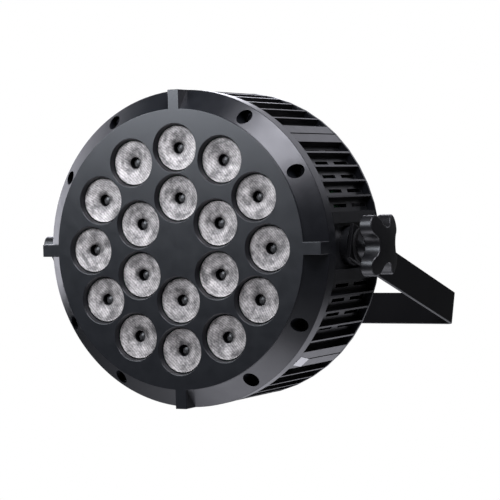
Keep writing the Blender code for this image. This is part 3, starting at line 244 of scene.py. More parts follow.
# %% Metal finishes
def powder_coat():
    made = Finish("black_powder_coat", specular_ior_level=0.20)
    peel = made.noise(0.55 * MM, detail=2.0)
    waves = made.noise(2.6 * MM, detail=1.0)
    drift = made.noise(35 * MM)
    made.set(base_color=made.blend(drift, (0.0028, 0.0028, 0.0032), (0.0050, 0.0050, 0.0056)))
    made.set(roughness=0.36 + 0.10 * drift + 0.06 * peel)
    made.bump(0.6 * peel + 0.4 * waves, 0.030 * MM, 0.5)
    return made


def plated(name, dark, light, roughness, cloud=2.2 * MM):
    made = Finish(name, metallic=1.0)
    patches = made.noise(cloud, detail=3.0)
    marks = made.noise(0.25 * MM, detail=2.0)
    made.set(base_color=made.blend(patches, dark, light))
    made.set(roughness=roughness - 0.06 + 0.12 * patches + 0.05 * marks)
    made.bump(marks, 0.006 * MM, 0.4)
    return made


def extruded_aluminium():
    """Drawn through a die, so its fine lines run one way."""
    made = Finish("extruded_aluminium", metallic=1.0)
    lines = made.noise(0.3 * MM, place=made.scaled((1.0, 0.04, 1.0)))
    clouds = made.noise(9 * MM)
    made.set(base_color=made.blend(clouds, (0.46, 0.47, 0.49), (0.60, 0.61, 0.63)))
    made.set(roughness=0.34 + 0.14 * lines + 0.08 * clouds)
    made.bump(lines, 0.010 * MM, 0.5)
    return made


yoke_finish = powder_coat()
screw_finish = plated("blackened_screw_steel", (0.006, 0.006, 0.007), (0.016, 0.016, 0.018), 0.60)
zinc_finish = plated("zinc_plate", (0.50, 0.51, 0.53), (0.68, 0.69, 0.72), 0.34)
brass_finish = plated("turned_brass", (0.56, 0.41, 0.17), (0.72, 0.55, 0.26), 0.30)
aluminium_finish = extruded_aluminium()
print("metal finishes are ready")

# %% [markdown]
# ## Rubber, board, window, buttons and label
# The small finishes each have one thing that tells them apart. Rubber is matt and a little dusty. A circuit
# board is green lacquer over copper tracks, which show as paler lines. The display window is dark red
# acrylic, smooth enough to mirror the room. The label is plain white paper with a faint fibre.

# %% Small finishes
def rubber():
    made = Finish("washer_rubber", specular_ior_level=0.3)
    dust = made.noise(1.1 * MM, detail=4.0)
    made.set(base_color=made.blend(dust, (0.003, 0.003, 0.003), (0.009, 0.009, 0.009)))
    made.set(roughness=0.70 + 0.15 * dust)
    made.bump(dust, 0.02 * MM, 0.4)
    return made


def circuit_board():
    made = Finish("board_lacquer")
    tracks = made.cells(2.4 * MM, "DISTANCE_TO_EDGE")
    copper = 1 - (tracks * 9).at_most(1.0)
    drift = made.noise(12 * MM)
    green = made.blend(drift, (0.010, 0.085, 0.035), (0.018, 0.120, 0.050))
    made.set(base_color=made.blend(0.5 * copper, green, (0.10, 0.26, 0.10)))
    made.set(roughness=0.30 + 0.18 * copper + 0.08 * drift)
    made.bump(copper, 0.02 * MM, 0.5)
    return made


def display_acrylic():
    made = Finish("window_acrylic", coat_roughness=0.04)
    depth = made.noise(16 * MM)
    made.set(base_color=made.blend(depth, (0.016, 0.003, 0.003), (0.030, 0.006, 0.005)))
    made.set(roughness=0.08 + 0.05 * made.noise(3 * MM))
    made.bump(made.noise(9 * MM), 0.01 * MM, 0.3)
    return made


def blank_paper():
    made = Finish("label_paper")
    fibre = made.noise(0.5 * MM, detail=5.0, place=made.scaled((1.0, 2.5, 1.0)))
    made.set(base_color=made.blend(fibre, (0.74, 0.74, 0.74), (0.86, 0.86, 0.86)))
    made.set(roughness=0.50 + 0.16 * fibre)
    made.bump(fibre, 0.008 * MM, 0.4)
    return made


rubber_finish = rubber()
board_finish = circuit_board()
window_finish = display_acrylic()
label_finish = blank_paper()
button_finish = moulded("button_nylon", (0.085, 0.085, 0.092), 0.45, 0.4 * MM, 0.008 * MM)
print("small finishes are ready")

# %% [markdown]
# ## Meshes from outlines
# Nearly every piece here is either turned on a lathe or cut from a section, so two helpers make most of them:
# one spins a half outline round the Z axis, the other pushes a closed outline through a thickness. A third
# puts an arc in place of a corner, because a moulded or bent corner is never a point. Booleans are applied at
# once, and the tool is thrown away, so that the finished piece is a plain mesh.

# %% Outlines
def arc_points(centre, radius, start, end, steps):
    """Points on a circle from start to end, in degrees."""
    angles = [math.radians(start + (end - start) * i / steps) for i in range(steps + 1)]
    return [(centre[0] + radius * math.cos(a), centre[1] + radius * math.sin(a)) for a in angles]


def with_round_corners(corners, closed=False, steps=5):
    """Turns (x, y, corner radius) into the points of an outline whose corners are arcs."""
    points = []
    for i, (x, y, radius) in enumerate(corners):
        here = Vector((x, y))
        if radius == 0 or (not closed and i in (0, len(corners) - 1)):
            points.append((x, y))
            continue
        back = (Vector(corners[i - 1][:2]) - here).normalized()
        ahead = (Vector(corners[(i + 1) % len(corners)][:2]) - here).normalized()
        half = back.angle(ahead) / 2
        centre = here + (back + ahead).normalized() * radius / math.sin(half)
        first = here + back * radius / math.tan(half) - centre
        last = here + ahead * radius / math.tan(half) - centre
        start = math.degrees(math.atan2(first.y, first.x))
        turn = (math.degrees(math.atan2(last.y, last.x)) - start + 180) % 360 - 180
        points += arc_points(centre, radius, start, start + turn, steps)
    return points


def turned(name, profile, sides=96, closed=False):
    """A mesh turned about Z from a profile of (radius, z) points."""
    bm = bmesh.new()
    ring = [bm.verts.new((radius, 0, z)) for radius, z in profile]
    edges = [bm.edges.new(pair) for pair in zip(ring, ring[1:])]
    if closed:
        edges.append(bm.edges.new((ring[-1], ring[0])))
    bmesh.ops.spin(bm, geom=ring + edges, axis=(0, 0, 1), angle=2 * math.pi, steps=sides, use_duplicate=False)
    return finished_mesh(name, bm)


def pushed(name, outline, back, front):
    """A mesh with a flat outline in X and Y, from z = back to z = front."""
    bm = bmesh.new()
    lower = bm.faces.new([bm.verts.new((x, y, back)) for x, y in outline])
    upper = bmesh.ops.extrude_face_region(bm, geom=[lower])["geom"]
    moved = [v for v in upper if isinstance(v, bmesh.types.BMVert)]
    bmesh.ops.translate(bm, verts=moved, vec=(0, 0, front - back))
    return finished_mesh(name, bm)


def finished_mesh(name, bm):
    bmesh.ops.remove_doubles(bm, verts=bm.verts, dist=0.001 * MM)
    bmesh.ops.recalc_face_normals(bm, faces=bm.faces)
    mesh = bpy.data.meshes.new(name)
    bm.to_mesh(mesh)
    bm.free()
    return mesh


def merged(name, meshes):
    """One mesh from several (mesh, matrix) pairs that don't touch."""
    bm = bmesh.new()
    for mesh, matrix in meshes:
        copy = mesh.copy()
        copy.transform(matrix)
        bm.from_mesh(copy)
        bpy.data.meshes.remove(copy)
    return finished_mesh(name, bm)


def carved(mesh, tool, operation="DIFFERENCE"):
    """The mesh after one exact Boolean with another mesh."""
    block = bpy.data.objects.new("block", mesh)
    knife = bpy.data.objects.new("knife", tool)
    for item in (block, knife):
        bpy.context.scene.collection.objects.link(item)
    step = block.modifiers.new("carve", "BOOLEAN")
    step.operation = operation
    step.solver = "EXACT"
    step.object = knife
    graph = bpy.context.evaluated_depsgraph_get()
    result = bpy.data.meshes.new_from_object(block.evaluated_get(graph))
    bpy.data.objects.remove(block)
    bpy.data.objects.remove(knife)
    result.name = mesh.name
    return result


def shifted(x=0.0, y=0.0, z=0.0):
    return Matrix.Translation((x, y, z))


# %% [markdown]
# ## Soft edges and smooth sides
# Light catches on the edge of a real moulding because the edge is a tiny cylinder, not a line. Three
# modifiers give every piece that edge: one joins the points that the file format keeps apart, one dissolves
# the triangles on flat faces, and a bevel rounds what is left. The pieces of the engineering model keep their
# own vertices: only modifiers are added to them.

# %% Round the edges of a piece
def soften(piece, width, segments=2, angle=32):
    mesh = piece.data
    if "custom_normal" in mesh.attributes:
        mesh.attributes.remove(mesh.attributes["custom_normal"])
    mesh.shade_smooth()
    weld = piece.modifiers.new("weld", "WELD")
    weld.merge_threshold = 0.004 * MM
    flat = piece.modifiers.new("flat", "DECIMATE")
    flat.decimate_type = "DISSOLVE"
    flat.angle_limit = math.radians(0.6)
    edge = piece.modifiers.new("edge", "BEVEL")
    edge.width = width
    edge.segments = segments
    edge.limit_method = "ANGLE"
    edge.angle_limit = math.radians(angle)
    edge.use_clamp_overlap = True
    edge.harden_normals = True
    edge.miter_outer = "MITER_ARC"
    return piece


def add_piece(name, mesh, body, finish, matrix=head_matrix, stands_for=()):
    """Puts a mesh in its place, on its body, with its finish."""
    piece = bpy.data.objects.new(name, mesh)
    bpy.context.scene.collection.objects.link(piece)
    piece.matrix_world = matrix
    if not mesh.materials:
        mesh.materials.append(finish.material)
    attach(piece, body)
    if stands_for:
        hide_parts(*stands_for)
    return piece


def smooth(mesh, angle=32):
    mesh.shade_smooth()
    mesh.set_sharp_from_angle(angle=math.radians(angle))
    return mesh


def level(piece):
    """Lets large flat faces keep their own direction where a small round edge meets them."""
    even = piece.modifiers.new("level", "WEIGHTED_NORMAL")
    even.mode = "FACE_AREA"
    even.weight = 100
    even.keep_sharp = True
    return piece


def head_place(node):
    """The middle of an engineering piece in the head's own frame."""
    low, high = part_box(node)
    return head_matrix.inverted() @ ((low + high) / 2)


def numbered(start):
    return sorted(name for name in nodes if name.startswith(start))


lens_names = numbered("lens_")
screw_names = numbered("bezel_screw_")
print(len(lens_names), "lenses and", len(screw_names), "bezel screws")

# %% [markdown]
# ## The bezel
# The front moulding is one piece: a flat plate with eighteen recesses, a sloping ring, four ribs that
# strengthen the ring, eight deep pockets for the screws, and a smooth outer band. It is turned with many
# sides so that its rim stays round, and the recesses are cut with tools whose own profile flares out in an
# arc. That arc leaves the rounded lip that a mould leaves round each lens.

# %% Bezel sizes
low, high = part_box(lens_names[0])
lens_radius = (high.x - low.x) / 2
lens_face = low.y - front
throat_radius = lens_radius + 0.4 * MM
flare = 0.9 * MM
lip = 0.45 * MM
cone_width, cone_depth = 12.5 * MM, 12.4 * MM
plate_step = 1.0 * MM
plate_thickness = 4.0 * MM
plate_radius = rim_radius - cone_width
bezel_wall = 3.2 * MM
rib_width = 8.2 * MM
pocket_radius, pocket_depth, pocket_floor = 4.6 * MM, 16.0 * MM, 2.6 * MM
print(f"plate radius {plate_radius / MM:.1f} mm, lens faces {lens_face / MM:.1f} mm behind it")


# %% Turn the bezel
def bezel_blank():
    inner = rim_radius - bezel_wall
    shoulder = -pocket_depth - pocket_floor
    profile = with_round_corners(
        [
            (0, 0, 0),
            (plate_radius, 0, 0.35 * MM),
            (plate_radius, -plate_step, 0.25 * MM),
            (rim_radius, -cone_depth, 0.9 * MM),
            (rim_radius, -bezel_depth, 0.6 * MM),
            (inner, -bezel_depth, 0),
            (inner, shoulder, 0),
            (plate_radius - bezel_wall / 2, shoulder, 0),
            (plate_radius - bezel_wall / 2, -plate_thickness, 0),
            (0, -plate_thickness, 0),
        ]
    )
    return turned("bezel", profile, sides=192)


def rib(angle):
    """A block that fills the slope level with the plate, with its own rounded edges."""
    length = cone_width + plate_step
    bm = bmesh.new()
    bmesh.ops.create_cube(bm, size=1, matrix=Matrix.Diagonal((length, rib_width, cone_depth, 1)))
    rounding = {"offset": 0.35 * MM, "segments": 3, "profile": 0.5, "affect": "EDGES", "clamp_overlap": True}
    bmesh.ops.bevel(bm, geom=bm.edges[:], **rounding)
    mesh = finished_mesh("rib", bm)
    place = shifted(rim_radius - length / 2 - 0.02 * MM, 0, -cone_depth / 2 - 0.01 * MM)
    return mesh, Matrix.Rotation(math.radians(angle), 4, "Z") @ place


def recess_tool():
    """The shape of one lens recess: a throat, a flare, and a lip that opens out on to the plate."""
    mouth = throat_radius + flare
    lip_arc = arc_points((mouth + lip, -lip), lip, 180, 102, 5)
    profile = [
        (0, -plate_thickness - 2 * MM),
        (throat_radius, -plate_thickness - 2 * MM),
        (throat_radius, -lens_face),
        *lip_arc,
        (mouth + 2 * lip, 0.15 * MM),
        (mouth + 2 * lip, 2 * MM),
        (0, 2 * MM),
    ]
    return turned("recess", profile, sides=64)


def pocket_tool():
    inside = arc_points((pocket_radius - 0.4 * MM, -pocket_depth + 0.4 * MM), 0.4 * MM, -90, 0, 3)
    hole = [(0, -pocket_depth - 4 * MM), (2.3 * MM, -pocket_depth - 4 * MM), (2.3 * MM, -pocket_depth)]
    return turned("pocket", [*hole, *inside, (pocket_radius, 4 * MM), (0, 4 * MM)], sides=40)


lens_places = [head_place(name) for name in lens_names]
screw_places = [head_place(name) for name in screw_names]
bezel_mesh = bezel_blank()
bezel_mesh = carved(bezel_mesh, merged("ribs", [rib(angle) for angle in (0, 90, 180, 270)]), "UNION")
tool = recess_tool()
bezel_mesh = carved(bezel_mesh, merged("recesses", [(tool, shifted(p.x, p.y)) for p in lens_places]))
tool = pocket_tool()
bezel_mesh = carved(bezel_mesh, merged("pockets", [(tool, shifted(p.x, p.y)) for p in screw_places]))
smooth(bezel_mesh)
level(add_piece("bezel_moulding", bezel_mesh, "head", shell_finish, stands_for=["front_bezel"]))
print("the bezel has", len(bezel_mesh.polygons), "faces")

# %% [markdown]
# ## The lenses
# Each lens is a clear moulded cone that stands over one emitter. From outside one sees its face: a shallow
# silvery dish, frosted with fine lines, round a hole that has a small textured dome deep inside it. The
# hole's wall and the dome are coloured dark as painted shade, and the dish is painted darker towards the hole
# as painted shade. All eighteen share one mesh, each turned a few degrees. The object's own random number
# moves the clouds of the frosting, so no two lenses look alike. The clouds follow the radius and the
# direction from the middle, so they swirl round the hole.

# %% Frosted lens finish
def frosted_lens():
    made = Finish("frosted_lens", metallic=0.55, specular_ior_level=0.5)
    x, y, _ = made.split()
    reach = (x * x + y * y) ** 0.5
    radius = reach / lens_radius
    own = made.node("ShaderNodeObjectInfo", output="Random") * 40
    swirl = made.node("ShaderNodeCombineXYZ", sockets={0: radius * 2.6 + own, 1: x / reach, 2: y / reach})
    streaks = made.node(
        "ShaderNodeTexNoise", sockets={"Vector": swirl, "Scale": 1.3, "Detail": 8.0, "Roughness": 0.72}
    )
    patches = made.node(
        "ShaderNodeTexNoise",
        {"noise_dimensions": "4D"},
        {"Vector": made.place, "W": own, "Scale": 0.13 / MM, "Detail": 6.0, "Roughness": 0.7},
    )
    clouds = 0.55 * streaks + 0.45 * patches
    mottle = ((clouds - 0.5) * 5.5 + 0.45).at_least(0.0).at_most(1.0)
    hatch = made.node(
        "ShaderNodeTexWave",
        {"wave_type": "BANDS", "bands_direction": "DIAGONAL"},
        {"Vector": made.place, "Scale": 0.29 / MM, "Distortion": 1.5, "Detail": 1.0, "Detail Scale": 2.0},
    )
    grain = (made.noise(1.3 * MM, detail=3.0, roughness=0.7) * 3.5 - 1.25).at_least(0.0).at_most(1.0)
    # Painted shade: the dish is darkened towards the bore, over a ring whose edge the clouds move about.
    dish_shade = 1 - ((radius - 0.42 + 0.34 * clouds) * 4.0).at_most(1.0).at_least(0.0)
    share = (0.15 + 0.85 * mottle) * (0.42 + 0.34 * hatch + 0.34 * grain) * (1 - 0.75 * dish_shade)
    made.set(base_color=made.blend(share, (0.045, 0.042, 0.041), (0.62, 0.575, 0.548)))
    made.set(roughness=0.42 + 0.14 * grain + 0.10 * mottle)
    made.bump(0.10 * hatch + 0.70 * clouds + 0.20 * grain, 0.5 * MM, 0.8)
    return made


def shaded_lens_dome():
    made = Finish("textured_dome", metallic=0.1)
    pebbles = made.cells(1.5 * MM)
    mottle = (made.noise(1.5 * MM, detail=4.0, roughness=0.7) * 4.0 - 1.5).at_least(0.0).at_most(1.0)
    # Painted shade: the dome's dark greys stand in for the shade deep in the bore; the mottle and the pebbles
    # are its own texture.
    made.set(base_color=made.blend(mottle, (0.004, 0.004, 0.004), (0.10, 0.097, 0.097)))
    made.set(roughness=0.34 + 0.20 * mottle)
    made.bump(pebbles, 0.25 * MM, 0.9)
    return made


def lens_bore():
    """The wall and floor of the hole, coloured near-black as painted shade of the deep bore."""
    made = Finish("lens_bore", metallic=0.2)
    shade = made.noise(1.5 * MM)
    # Painted shade: these near-black greys stand in for the shade deep in the bore.
    made.set(base_color=made.blend(shade, (0.006, 0.006, 0.007), (0.020, 0.020, 0.022)))
    made.set(roughness=0.25 + 0.2 * shade)
    return made


lens_finish, dome_shade_finish, bore_shade_finish = frosted_lens(), shaded_lens_dome(), lens_bore()
bore_radius, bore_depth = 3.9 * MM, 8.2 * MM
lens_depth = 18.8 * MM


# %% Make one lens and set it eighteen times
def lens_section():
    """The lens's profile, from the bottom of its bore out over the dish and down its cone."""
    dish_depth = 1.5 * MM
    dish = []
    for i in range(9):
        share = i / 8
        radius = bore_radius + 0.5 * MM + (lens_radius - bore_radius - 1.1 * MM) * share
        dish.append((radius, -dish_depth * (1 - share) ** 1.5 - 0.1 * MM))
    return [
        (0, -bore_depth),
        (bore_radius, -bore_depth),
        (bore_radius, -dish_depth - 0.5 * MM),
        *dish,
        (lens_radius - 0.3 * MM, 0),
        (lens_radius, -0.3 * MM),
        (lens_radius, -2.0 * MM),
        (5.6 * MM, -lens_depth),
        (0, -lens_depth),
    ]


def dome_section():
    """A cap that rises a little from the bottom of the bore."""
    centre_height, cap_radius = -8.6 * MM, 4.2 * MM
    cap = arc_points((0, centre_height), cap_radius, 20, 90, 8)
    return [(cap[0][0], -bore_depth + 0.1 * MM), *cap]


lens_mesh = smooth(turned("lens", lens_section(), sides=96), 28)
dome_mesh = smooth(turned("dome", dome_section(), sides=32))
lens_mesh.materials.append(lens_finish.material)
lens_mesh.materials.append(bore_shade_finish.material)
# The faces deep in the bore take the near-black finish, which is painted shade of the hole.
for face in lens_mesh.polygons:
    deep = face.center.z < -2.0 * MM
    inside = Vector(face.center[:2]).length < bore_radius + 0.05 * MM
    face.material_index = 1 if deep and inside else 0
for number, (name, place) in enumerate(zip(lens_names, lens_places)):
    turn = Matrix.Rotation(math.radians(37 * number % 17 - 8), 4, "Z")
    matrix = head_matrix @ shifted(place.x, place.y, -lens_face) @ turn
    add_piece(name + "_face", lens_mesh, "head", lens_finish, matrix, [name])
    add_piece(name + "_dome", dome_mesh, "head", dome_shade_finish, matrix)
print("set", len(lens_places), "lenses")

# %% [markdown]
# ## The bezel screws
# Eight pan head screws sit at the bottom of the pockets. A pan head is a flat button with a round shoulder,
# and its cross is two shallow grooves. One mesh serves for all of them, each stopped at a different angle by
# the screwdriver.

# %% Screws
def screw_mesh(head_radius, head_height, shank_radius, length):
    profile = with_round_corners(
        [
            (0, head_height, 0),
            (head_radius, head_height, head_height * 0.6),
            (head_radius, 0, 0),
            (shank_radius, 0, 0),
            (shank_radius, -length, 0),
            (0, -length, 0),
        ]
    )
    blank = turned("screw", profile, sides=48)
    bm = bmesh.new()
    size = Matrix.Diagonal((head_radius * 1.15, head_radius * 0.24, head_height, 1))
    bmesh.ops.create_cube(bm, size=1, matrix=shifted(z=head_height) @ size)
    first = finished_mesh("groove", bm)
    cross = carved(first, merged("groove", [(first, Matrix.Rotation(math.pi / 2, 4, "Z"))]), "UNION")
    return smooth(carved(blank, cross))


low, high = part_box(screw_names[0])
bezel_screw = screw_mesh((high.x - low.x) / 2, 2.6 * MM, 2.0 * MM, 6.0 * MM)
screw_seat = pocket_depth - 0.3 * MM
for number, (name, place) in enumerate(zip(screw_names, screw_places)):
    turn = Matrix.Rotation(math.radians(53 * number), 4, "Z")
    matrix = head_matrix @ shifted(place.x, place.y, -screw_seat) @ turn
    add_piece(name + "_fine", bezel_screw, "head", screw_finish, matrix, [name])
print("set", len(screw_places), "screws")

# %% [markdown]
# ## The yoke
# One steel strip is bent twice into a U. Its section seen from above is a pushed outline, with real bend
# radii. The holes are punched, so their edges are crisp, and the ends of the arms are cropped at 45 degrees
# so that they don't catch a cable.

# %% Bend the yoke
yoke_reach, yoke_angle, yoke_width, yoke_thickness = 171.7 * MM, 17.7, 23.0 * MM, 2.5 * MM
yoke_low, yoke_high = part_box("yoke")
arm_outer = yoke_high.x
bend = 4.5 * MM
yoke_end = 12.0 * MM
yoke_matrix = Matrix.Rotation(math.radians(-yoke_angle), 4, "X")


def yoke_blank():
    end = -yoke_reach - yoke_end
    inner = arm_outer - yoke_thickness
    outline = with_round_corners(
        [
            (arm_outer, end, 0),
            (arm_outer, 0, bend),
            (-arm_outer, 0, bend),
            (-arm_outer, end, 0),
            (-inner, end, 0),
            (-inner, -yoke_thickness, bend - yoke_thickness),
            (inner, -yoke_thickness, bend - yoke_thickness),
            (inner, end, 0),
        ],
        closed=True,
        steps=8,
    )
    return pushed("yoke", outline, -yoke_width / 2, yoke_width / 2)


def punches():
    across = Matrix.Rotation(math.pi / 2, 4, "Y")
    along = Matrix.Rotation(math.pi / 2, 4, "X")

    def punch(radius):
        return turned("punch", [(0, -5 * MM), (radius, -5 * MM), (radius, 5 * MM), (0, 5 * MM)], sides=48)

    tools = [(punch(6.5 * MM), along)]
    arm_middle = arm_outer - yoke_thickness / 2
    for side in (-1, 1):
        tools.append((punch(4.25 * MM), shifted(side * 32 * MM) @ along))
        tools.append((punch(4.7 * MM), shifted(side * arm_middle, -yoke_reach) @ across))
    return merged("punches", tools)


def croppers():
    """Blocks turned by 45 degrees, which crop the corners of both arms."""
    chamfer, size = 4.8 * MM, 20 * MM
    reach = size / math.sqrt(2) - chamfer / 2
    tools = []
    bm = bmesh.new()
    bmesh.ops.create_cube(bm, size=1, matrix=Matrix.Diagonal((10 * MM, size, size, 1)))
    block = finished_mesh("cropper", bm)
    for side in (-1, 1):
        for edge in (-1, 1):
            place = shifted(side * arm_outer, -yoke_reach - yoke_end - reach, edge * (yoke_width / 2 + reach))
            tools.append((block, place @ Matrix.Rotation(math.radians(45), 4, "X")))
    return merged("croppers", tools)


yoke_mesh = carved(carved(yoke_blank(), punches()), croppers())
yoke = add_piece("yoke_strip", yoke_mesh, "yoke", yoke_finish, yoke_matrix, ["yoke"])
soften(yoke, 0.35 * MM, 3)
print("the yoke's bar is", round((yoke_high.x - yoke_low.x) / MM, 1), "mm across")

# %% [markdown]
# ## The star knobs
# A star knob has lobes for the fingers and hollows between them. Its outline is arcs that touch each other,
# so it has no corner anywhere. The face is a low dome with a small round edge. It is drawn as rings of the
# same star, each smaller than the last, and the dome's height at each point follows from its distance to the
# axis. The left knob is screwed in further than the right one, so its hub is shorter. The bore holds the
# stud, whose box says how deep it is.

# %% Mould the knobs
knob_radius, tip_radius, notch_reach = 25.0 * MM, 6.8 * MM, 11.8 * MM
knob_low, knob_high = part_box("right_knob")
knob_thickness = knob_high.x - knob_low.x - 7.0 * MM
knob_crown = 4.2 * MM


def star_outline(shrink=0.0, steps=10):
    """Round tips joined by round hollows. Shrink draws the same star that far inside."""
    centre = knob_radius - tip_radius
    x, y = centre * math.cos(math.pi / 4), centre * math.sin(math.pi / 4)
    hollow = ((x - notch_reach) ** 2 + y**2 - tip_radius**2) / (2 * (tip_radius + x - notch_reach))
    hollow_centre = notch_reach + hollow
    touch = math.degrees(math.atan2(y, hollow_centre - x))
    points = []
    for lobe in range(4):
        tip = (centre * math.cos(lobe * math.pi / 2), centre * math.sin(lobe * math.pi / 2))
        middle = 90 * lobe
        points += arc_points(tip, tip_radius - shrink, middle - 45 - touch, middle + 45 + touch, 2 * steps)
        notch = math.radians(middle + 45)
        place = (hollow_centre * math.cos(notch), hollow_centre * math.sin(notch))
        turn = middle + 45 + 180
        points += arc_points(place, hollow + shrink, turn + touch, turn - touch, steps)[1:-1]
    return points


def crown(x, y):
    """The height of the domed face above the star's back."""
    return knob_thickness - knob_crown * (x * x + y * y) / knob_radius**2


def knob_mesh(hub_length, stud_reach):
    """The star in rings of equal count, from the hub side round its edge and over the dome."""
    edge = 0.8 * MM
    turns = [math.radians(22.5 * i) for i in range(5)]
    bm = bmesh.new()
    loops = []
    for a in turns:
        outline = star_outline(edge * (1 - math.sin(a)))
        loops.append([bm.verts.new((x, y, edge * (1 - math.cos(a)))) for x, y in outline])
    for a in turns:
        outline = star_outline(edge * (1 - math.cos(a)))
        loops.append([bm.verts.new((x, y, crown(x, y) - edge * (1 - math.sin(a)))) for x, y in outline])
    for scale in (0.93, 0.84, 0.72, 0.60, 0.48, 0.36, 0.24, 0.12, 0.04):
        outline = [(scale * x, scale * y) for x, y in star_outline(edge)]
        loops.append([bm.verts.new((x, y, crown(x, y))) for x, y in outline])
    for lower, upper in zip(loops, loops[1:]):
        for i in range(len(lower)):
            j = (i + 1) % len(lower)
            bm.faces.new((lower[i], lower[j], upper[j], upper[i]))
    bm.faces.new(list(reversed(loops[0])))
    bm.faces.new(loops[-1])
    star = finished_mesh("star", bm)
    hub = with_round_corners(
        [
            (0, -hub_length, 0),
            (9.0 * MM, -hub_length, 0.5 * MM),
            (9.0 * MM, 3 * MM, 0),
            (0, 3 * MM, 0),
        ]
    )
    star = carved(star, turned("hub", hub, sides=64), "UNION")
    bore = 4.2 * MM
    end = stud_reach - hub_length
    core = [(0, -20 * MM), (bore, -20 * MM), (bore, end), (0, end)]
    return smooth(carved(star, turned("core", core, sides=48)), 40)


for side, sign, turn in (("right", 1, 45), ("left", -1, 7)):
    inner, outer = sorted(abs(corner.x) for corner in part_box(f"{side}_knob"))
    stud_end = max(abs(corner.x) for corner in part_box(f"{side}_stud"))
    back = outer - knob_thickness
    star_knob = knob_mesh(back - inner, stud_end + 0.2 * MM - inner)
    axis = shifted(0, pivot.y, pivot.z) @ Matrix.Rotation(sign * math.pi / 2, 4, "Y")
    place = shifted(z=back) @ Matrix.Rotation(math.radians(turn), 4, "Z")
    knob = f"{side}_knob"
    level(add_piece(f"{side}_star", star_knob, knob, knob_finish, axis @ place, [knob]))
    print(f"the {side} hub is {(back - inner) / MM:.1f} mm, its bore {(stud_end - inner) / MM:.1f} mm")

# %% [markdown]
# ## Pieces that keep their engineering shape
# The finned panels, the boards, the fan, the sockets and the small metal pieces already have the right shape,
# so they only need soft edges and a finish. Each of them is given its finish here, by its name.

# %% Dress the engineering pieces
dressing = {
    fin_finish: (numbered("side_panel") + ["top_panel", "bottom_panel"], 0.28 * MM),
    aluminium_finish: (["heat_sink"], 0.15 * MM),
    socket_finish: (
        ["fan_frame", "fan_rotor", "dmx_in", "dmx_out", "power_inlet", "power_outlet", "fuse_drawer"],
        0.25 * MM,
    ),
    board_finish: (["led_board", "power_supply", "control_board", "display_board"], 0.10 * MM),
    window_finish: (["display_window"], 0.20 * MM),
    zinc_finish: (["dmx_out_latch", "safety_eye", "right_stud", "left_stud"], 0.20 * MM),
    brass_finish: (["right_insert", "left_insert"], 0.15 * MM),
    rubber_finish: (["right_washer", "left_washer"], 0.25 * MM),
    button_finish: (numbered("menu") + numbered("down") + numbered("up_") + numbered("enter"), 0.25 * MM),
    shell_finish: (["rear_cover"], 0.30 * MM),
}
for finish, (names, width) in dressing.items():
    for name in names:
        dress(nodes[name], finish)
        soften(nodes[name], width)
print("dressed", sum(len(names) for names, _ in dressing.values()), "pieces")

# %% [markdown]
# ## The label
# A small paper label is stuck across the seam of two panels, just behind the bezel's band. It is bent to the
# panels' curve, so it is a curved sheet with its corners rounded, and it stays blank.

# %% Stick on the label
def label_mesh():
    """A sheet 0.08 mm thick, turned a little and wrapped round the drum's axis."""
    width, length, turn = 7.6 * MM, 17.0 * MM, math.radians(13)
    half = width / 2
    corners = [(x, y, 0.5 * MM) for x, y in ((-half, 0), (half, 0), (half, length), (-half, length))]
    mesh = pushed("label", with_round_corners(corners, closed=True, steps=4), 0, 0.08 * MM)
    bm = bmesh.new()
    bm.from_mesh(mesh)
    for i in range(-4, 5):
        cut = (i * width / 10, 0, 0)
        whole = bm.verts[:] + bm.edges[:] + bm.faces[:]
        bmesh.ops.bisect_plane(bm, geom=whole, plane_co=cut, plane_no=(1, 0, 0))
    for vertex in bm.verts:
        across = vertex.co.x * math.cos(turn) - vertex.co.y * math.sin(turn)
        along = vertex.co.y * math.cos(turn) + vertex.co.x * math.sin(turn)
        angle = math.radians(-45) + across / rim_radius
        reach = rim_radius + vertex.co.z - 0.15 * MM
        vertex.co = (reach * math.cos(angle), reach * math.sin(angle), -bezel_depth - 1.6 * MM - along)
    return smooth(finished_mesh("label", bm))


add_piece("blank_label", label_mesh(), "head", label_finish)
print("the label is on the seam at 45 degrees, below right")

# %% [markdown]
# ## The stage
# A pale floor lies well below the lamp, which hangs from its yoke. A broad light overhead and a smaller one
# in front and to the left give a black lamp its shape: black plastic shows almost nothing but the reflections
# of the lights. The world is white to the camera and the floor is bright to it, so the lamp stands on a plain
# pale ground. Neither gives the lamp that much light, because pale reflections from all sides would turn its
# black plastic grey.

# %% Floor, lights and world
def stage_floor():
    bm = bmesh.new()
    bmesh.ops.create_circle(bm, cap_ends=True, segments=96, radius=2.4)
    mesh = finished_mesh("floor", bm)
    floor = bpy.data.objects.new("stage_floor", mesh)
    bpy.context.scene.collection.objects.link(floor)
    floor.location = (0, pivot.y, -0.85)
    made = Finish("pale_floor")
    made.set(base_color=made.blend(made.noise(0.4), (0.80, 0.80, 0.80), (0.84, 0.84, 0.84)))
    made.set(roughness=0.80 + 0.1 * made.noise(0.1))
    seen = made.node("ShaderNodeLightPath", output="Is Camera Ray")
    made.set(emission_color=made.blend(seen, 0.0, (0.52, 0.525, 0.53)), emission_strength=1.0)
    mesh.materials.append(made.material)
    return floor


def softbox(name, direction, distance, width, height, power, tint=(1.0, 1.0, 1.0)):
    """A rectangular area light that faces the lamp from a direction."""
    lamp = bpy.data.lights.new(name, "AREA")
    lamp.shape = "RECTANGLE"
    lamp.size, lamp.size_y = width, height
    lamp.energy = power
    lamp.color = tint
    made = bpy.data.objects.new(name, lamp)
    bpy.context.scene.collection.objects.link(made)
    middle = Vector((0, pivot.y, pivot.z))
    made.location = middle + Vector(direction).normalized() * distance
    made.rotation_euler = (made.location - middle).to_track_quat("Z", "Y").to_euler()
    made.visible_camera = False
    return made


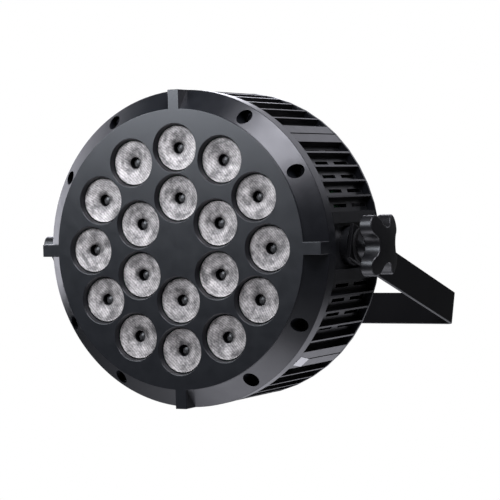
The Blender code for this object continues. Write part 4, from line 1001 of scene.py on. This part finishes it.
def studio_world():
    world = bpy.data.worlds.new("studio")
    world.use_nodes = True
    tree = world.node_tree
    tree.nodes.clear()
    seen, given = tree.nodes.new("ShaderNodeBackground"), tree.nodes.new("ShaderNodeBackground")
    seen.inputs["Color"].default_value = (1, 1, 1, 1)
    given.inputs["Color"].default_value = (0.95, 0.97, 1.0, 1)
    given.inputs["Strength"].default_value = 0.045
    path, mix = tree.nodes.new("ShaderNodeLightPath"), tree.nodes.new("ShaderNodeMixShader")
    output = tree.nodes.new("ShaderNodeOutputWorld")
    tree.links.new(path.outputs["Is Camera Ray"], mix.inputs[0])
    tree.links.new(given.outputs[0], mix.inputs[1])
    tree.links.new(seen.outputs[0], mix.inputs[2])
    tree.links.new(mix.outputs[0], output.inputs["Surface"])
    return world


floor = stage_floor()
studio_blue = (0.90, 0.90, 1.0)
softbox("overhead_softbox", (0.45, -0.32, 0.83), 0.9, 0.50, 0.50, 11.0, studio_blue)
softbox("front_softbox", (-0.42, -0.78, 0.46), 0.55, 0.40, 0.30, 4.2, (0.86, 0.91, 1.0))
softbox("back_softbox", (0.0, 0.88, 0.48), 1.0, 1.0, 0.5, 1.7, studio_blue)
softbox("low_softbox", (0.05, -0.28, -0.90), 0.60, 0.60, 0.30, 1.7, studio_blue)
softbox("low_back_softbox", (0.10, 0.80, -0.58), 0.9, 0.9, 0.4, 1.1, studio_blue)
softbox("rear_left_softbox", (-0.78, 0.80, 0.28), 0.9, 0.8, 0.8, 9.0, studio_blue)
bpy.context.scene.world = studio_world()
bpy.context.scene.view_settings.view_transform = "Standard"
print("the lights are on")

# %% [markdown]
# ## The camera
# The camera stands to the right of the lamp's front and a little above it, far enough away to keep the drum
# nearly free of perspective. A long lens then fills the square frame. The two small offsets move the lamp to
# the left and up, which leaves room for the yoke.

# %% Camera
def camera():
    turn, rise, roll = math.radians(27.81), math.radians(1.73), math.radians(-1.47)
    distance, aside, above = 1358.2 * MM, 29.33 * MM, -1.79 * MM
    aim = Vector((0, front + 40 * MM, axis_height))
    back = Vector((math.sin(turn) * math.cos(rise), -math.cos(turn) * math.cos(rise), math.sin(rise)))
    level = Vector((math.cos(turn), math.sin(turn), 0))
    upright = back.cross(level)
    right = math.cos(roll) * level + math.sin(roll) * upright
    up = math.cos(roll) * upright - math.sin(roll) * level
    data = bpy.data.cameras.new("camera")
    data.lens = 145.2
    data.sensor_width = 36
    made = bpy.data.objects.new("camera", data)
    bpy.context.scene.collection.objects.link(made)
    axes = Matrix((right, up, back)).transposed().to_4x4()
    made.matrix_world = Matrix.Translation(aim + distance * back + aside * right + above * up) @ axes
    return made


bpy.context.scene.camera = camera()
print("the camera is at", [round(value, 3) for value in bpy.context.scene.camera.matrix_world.translation])
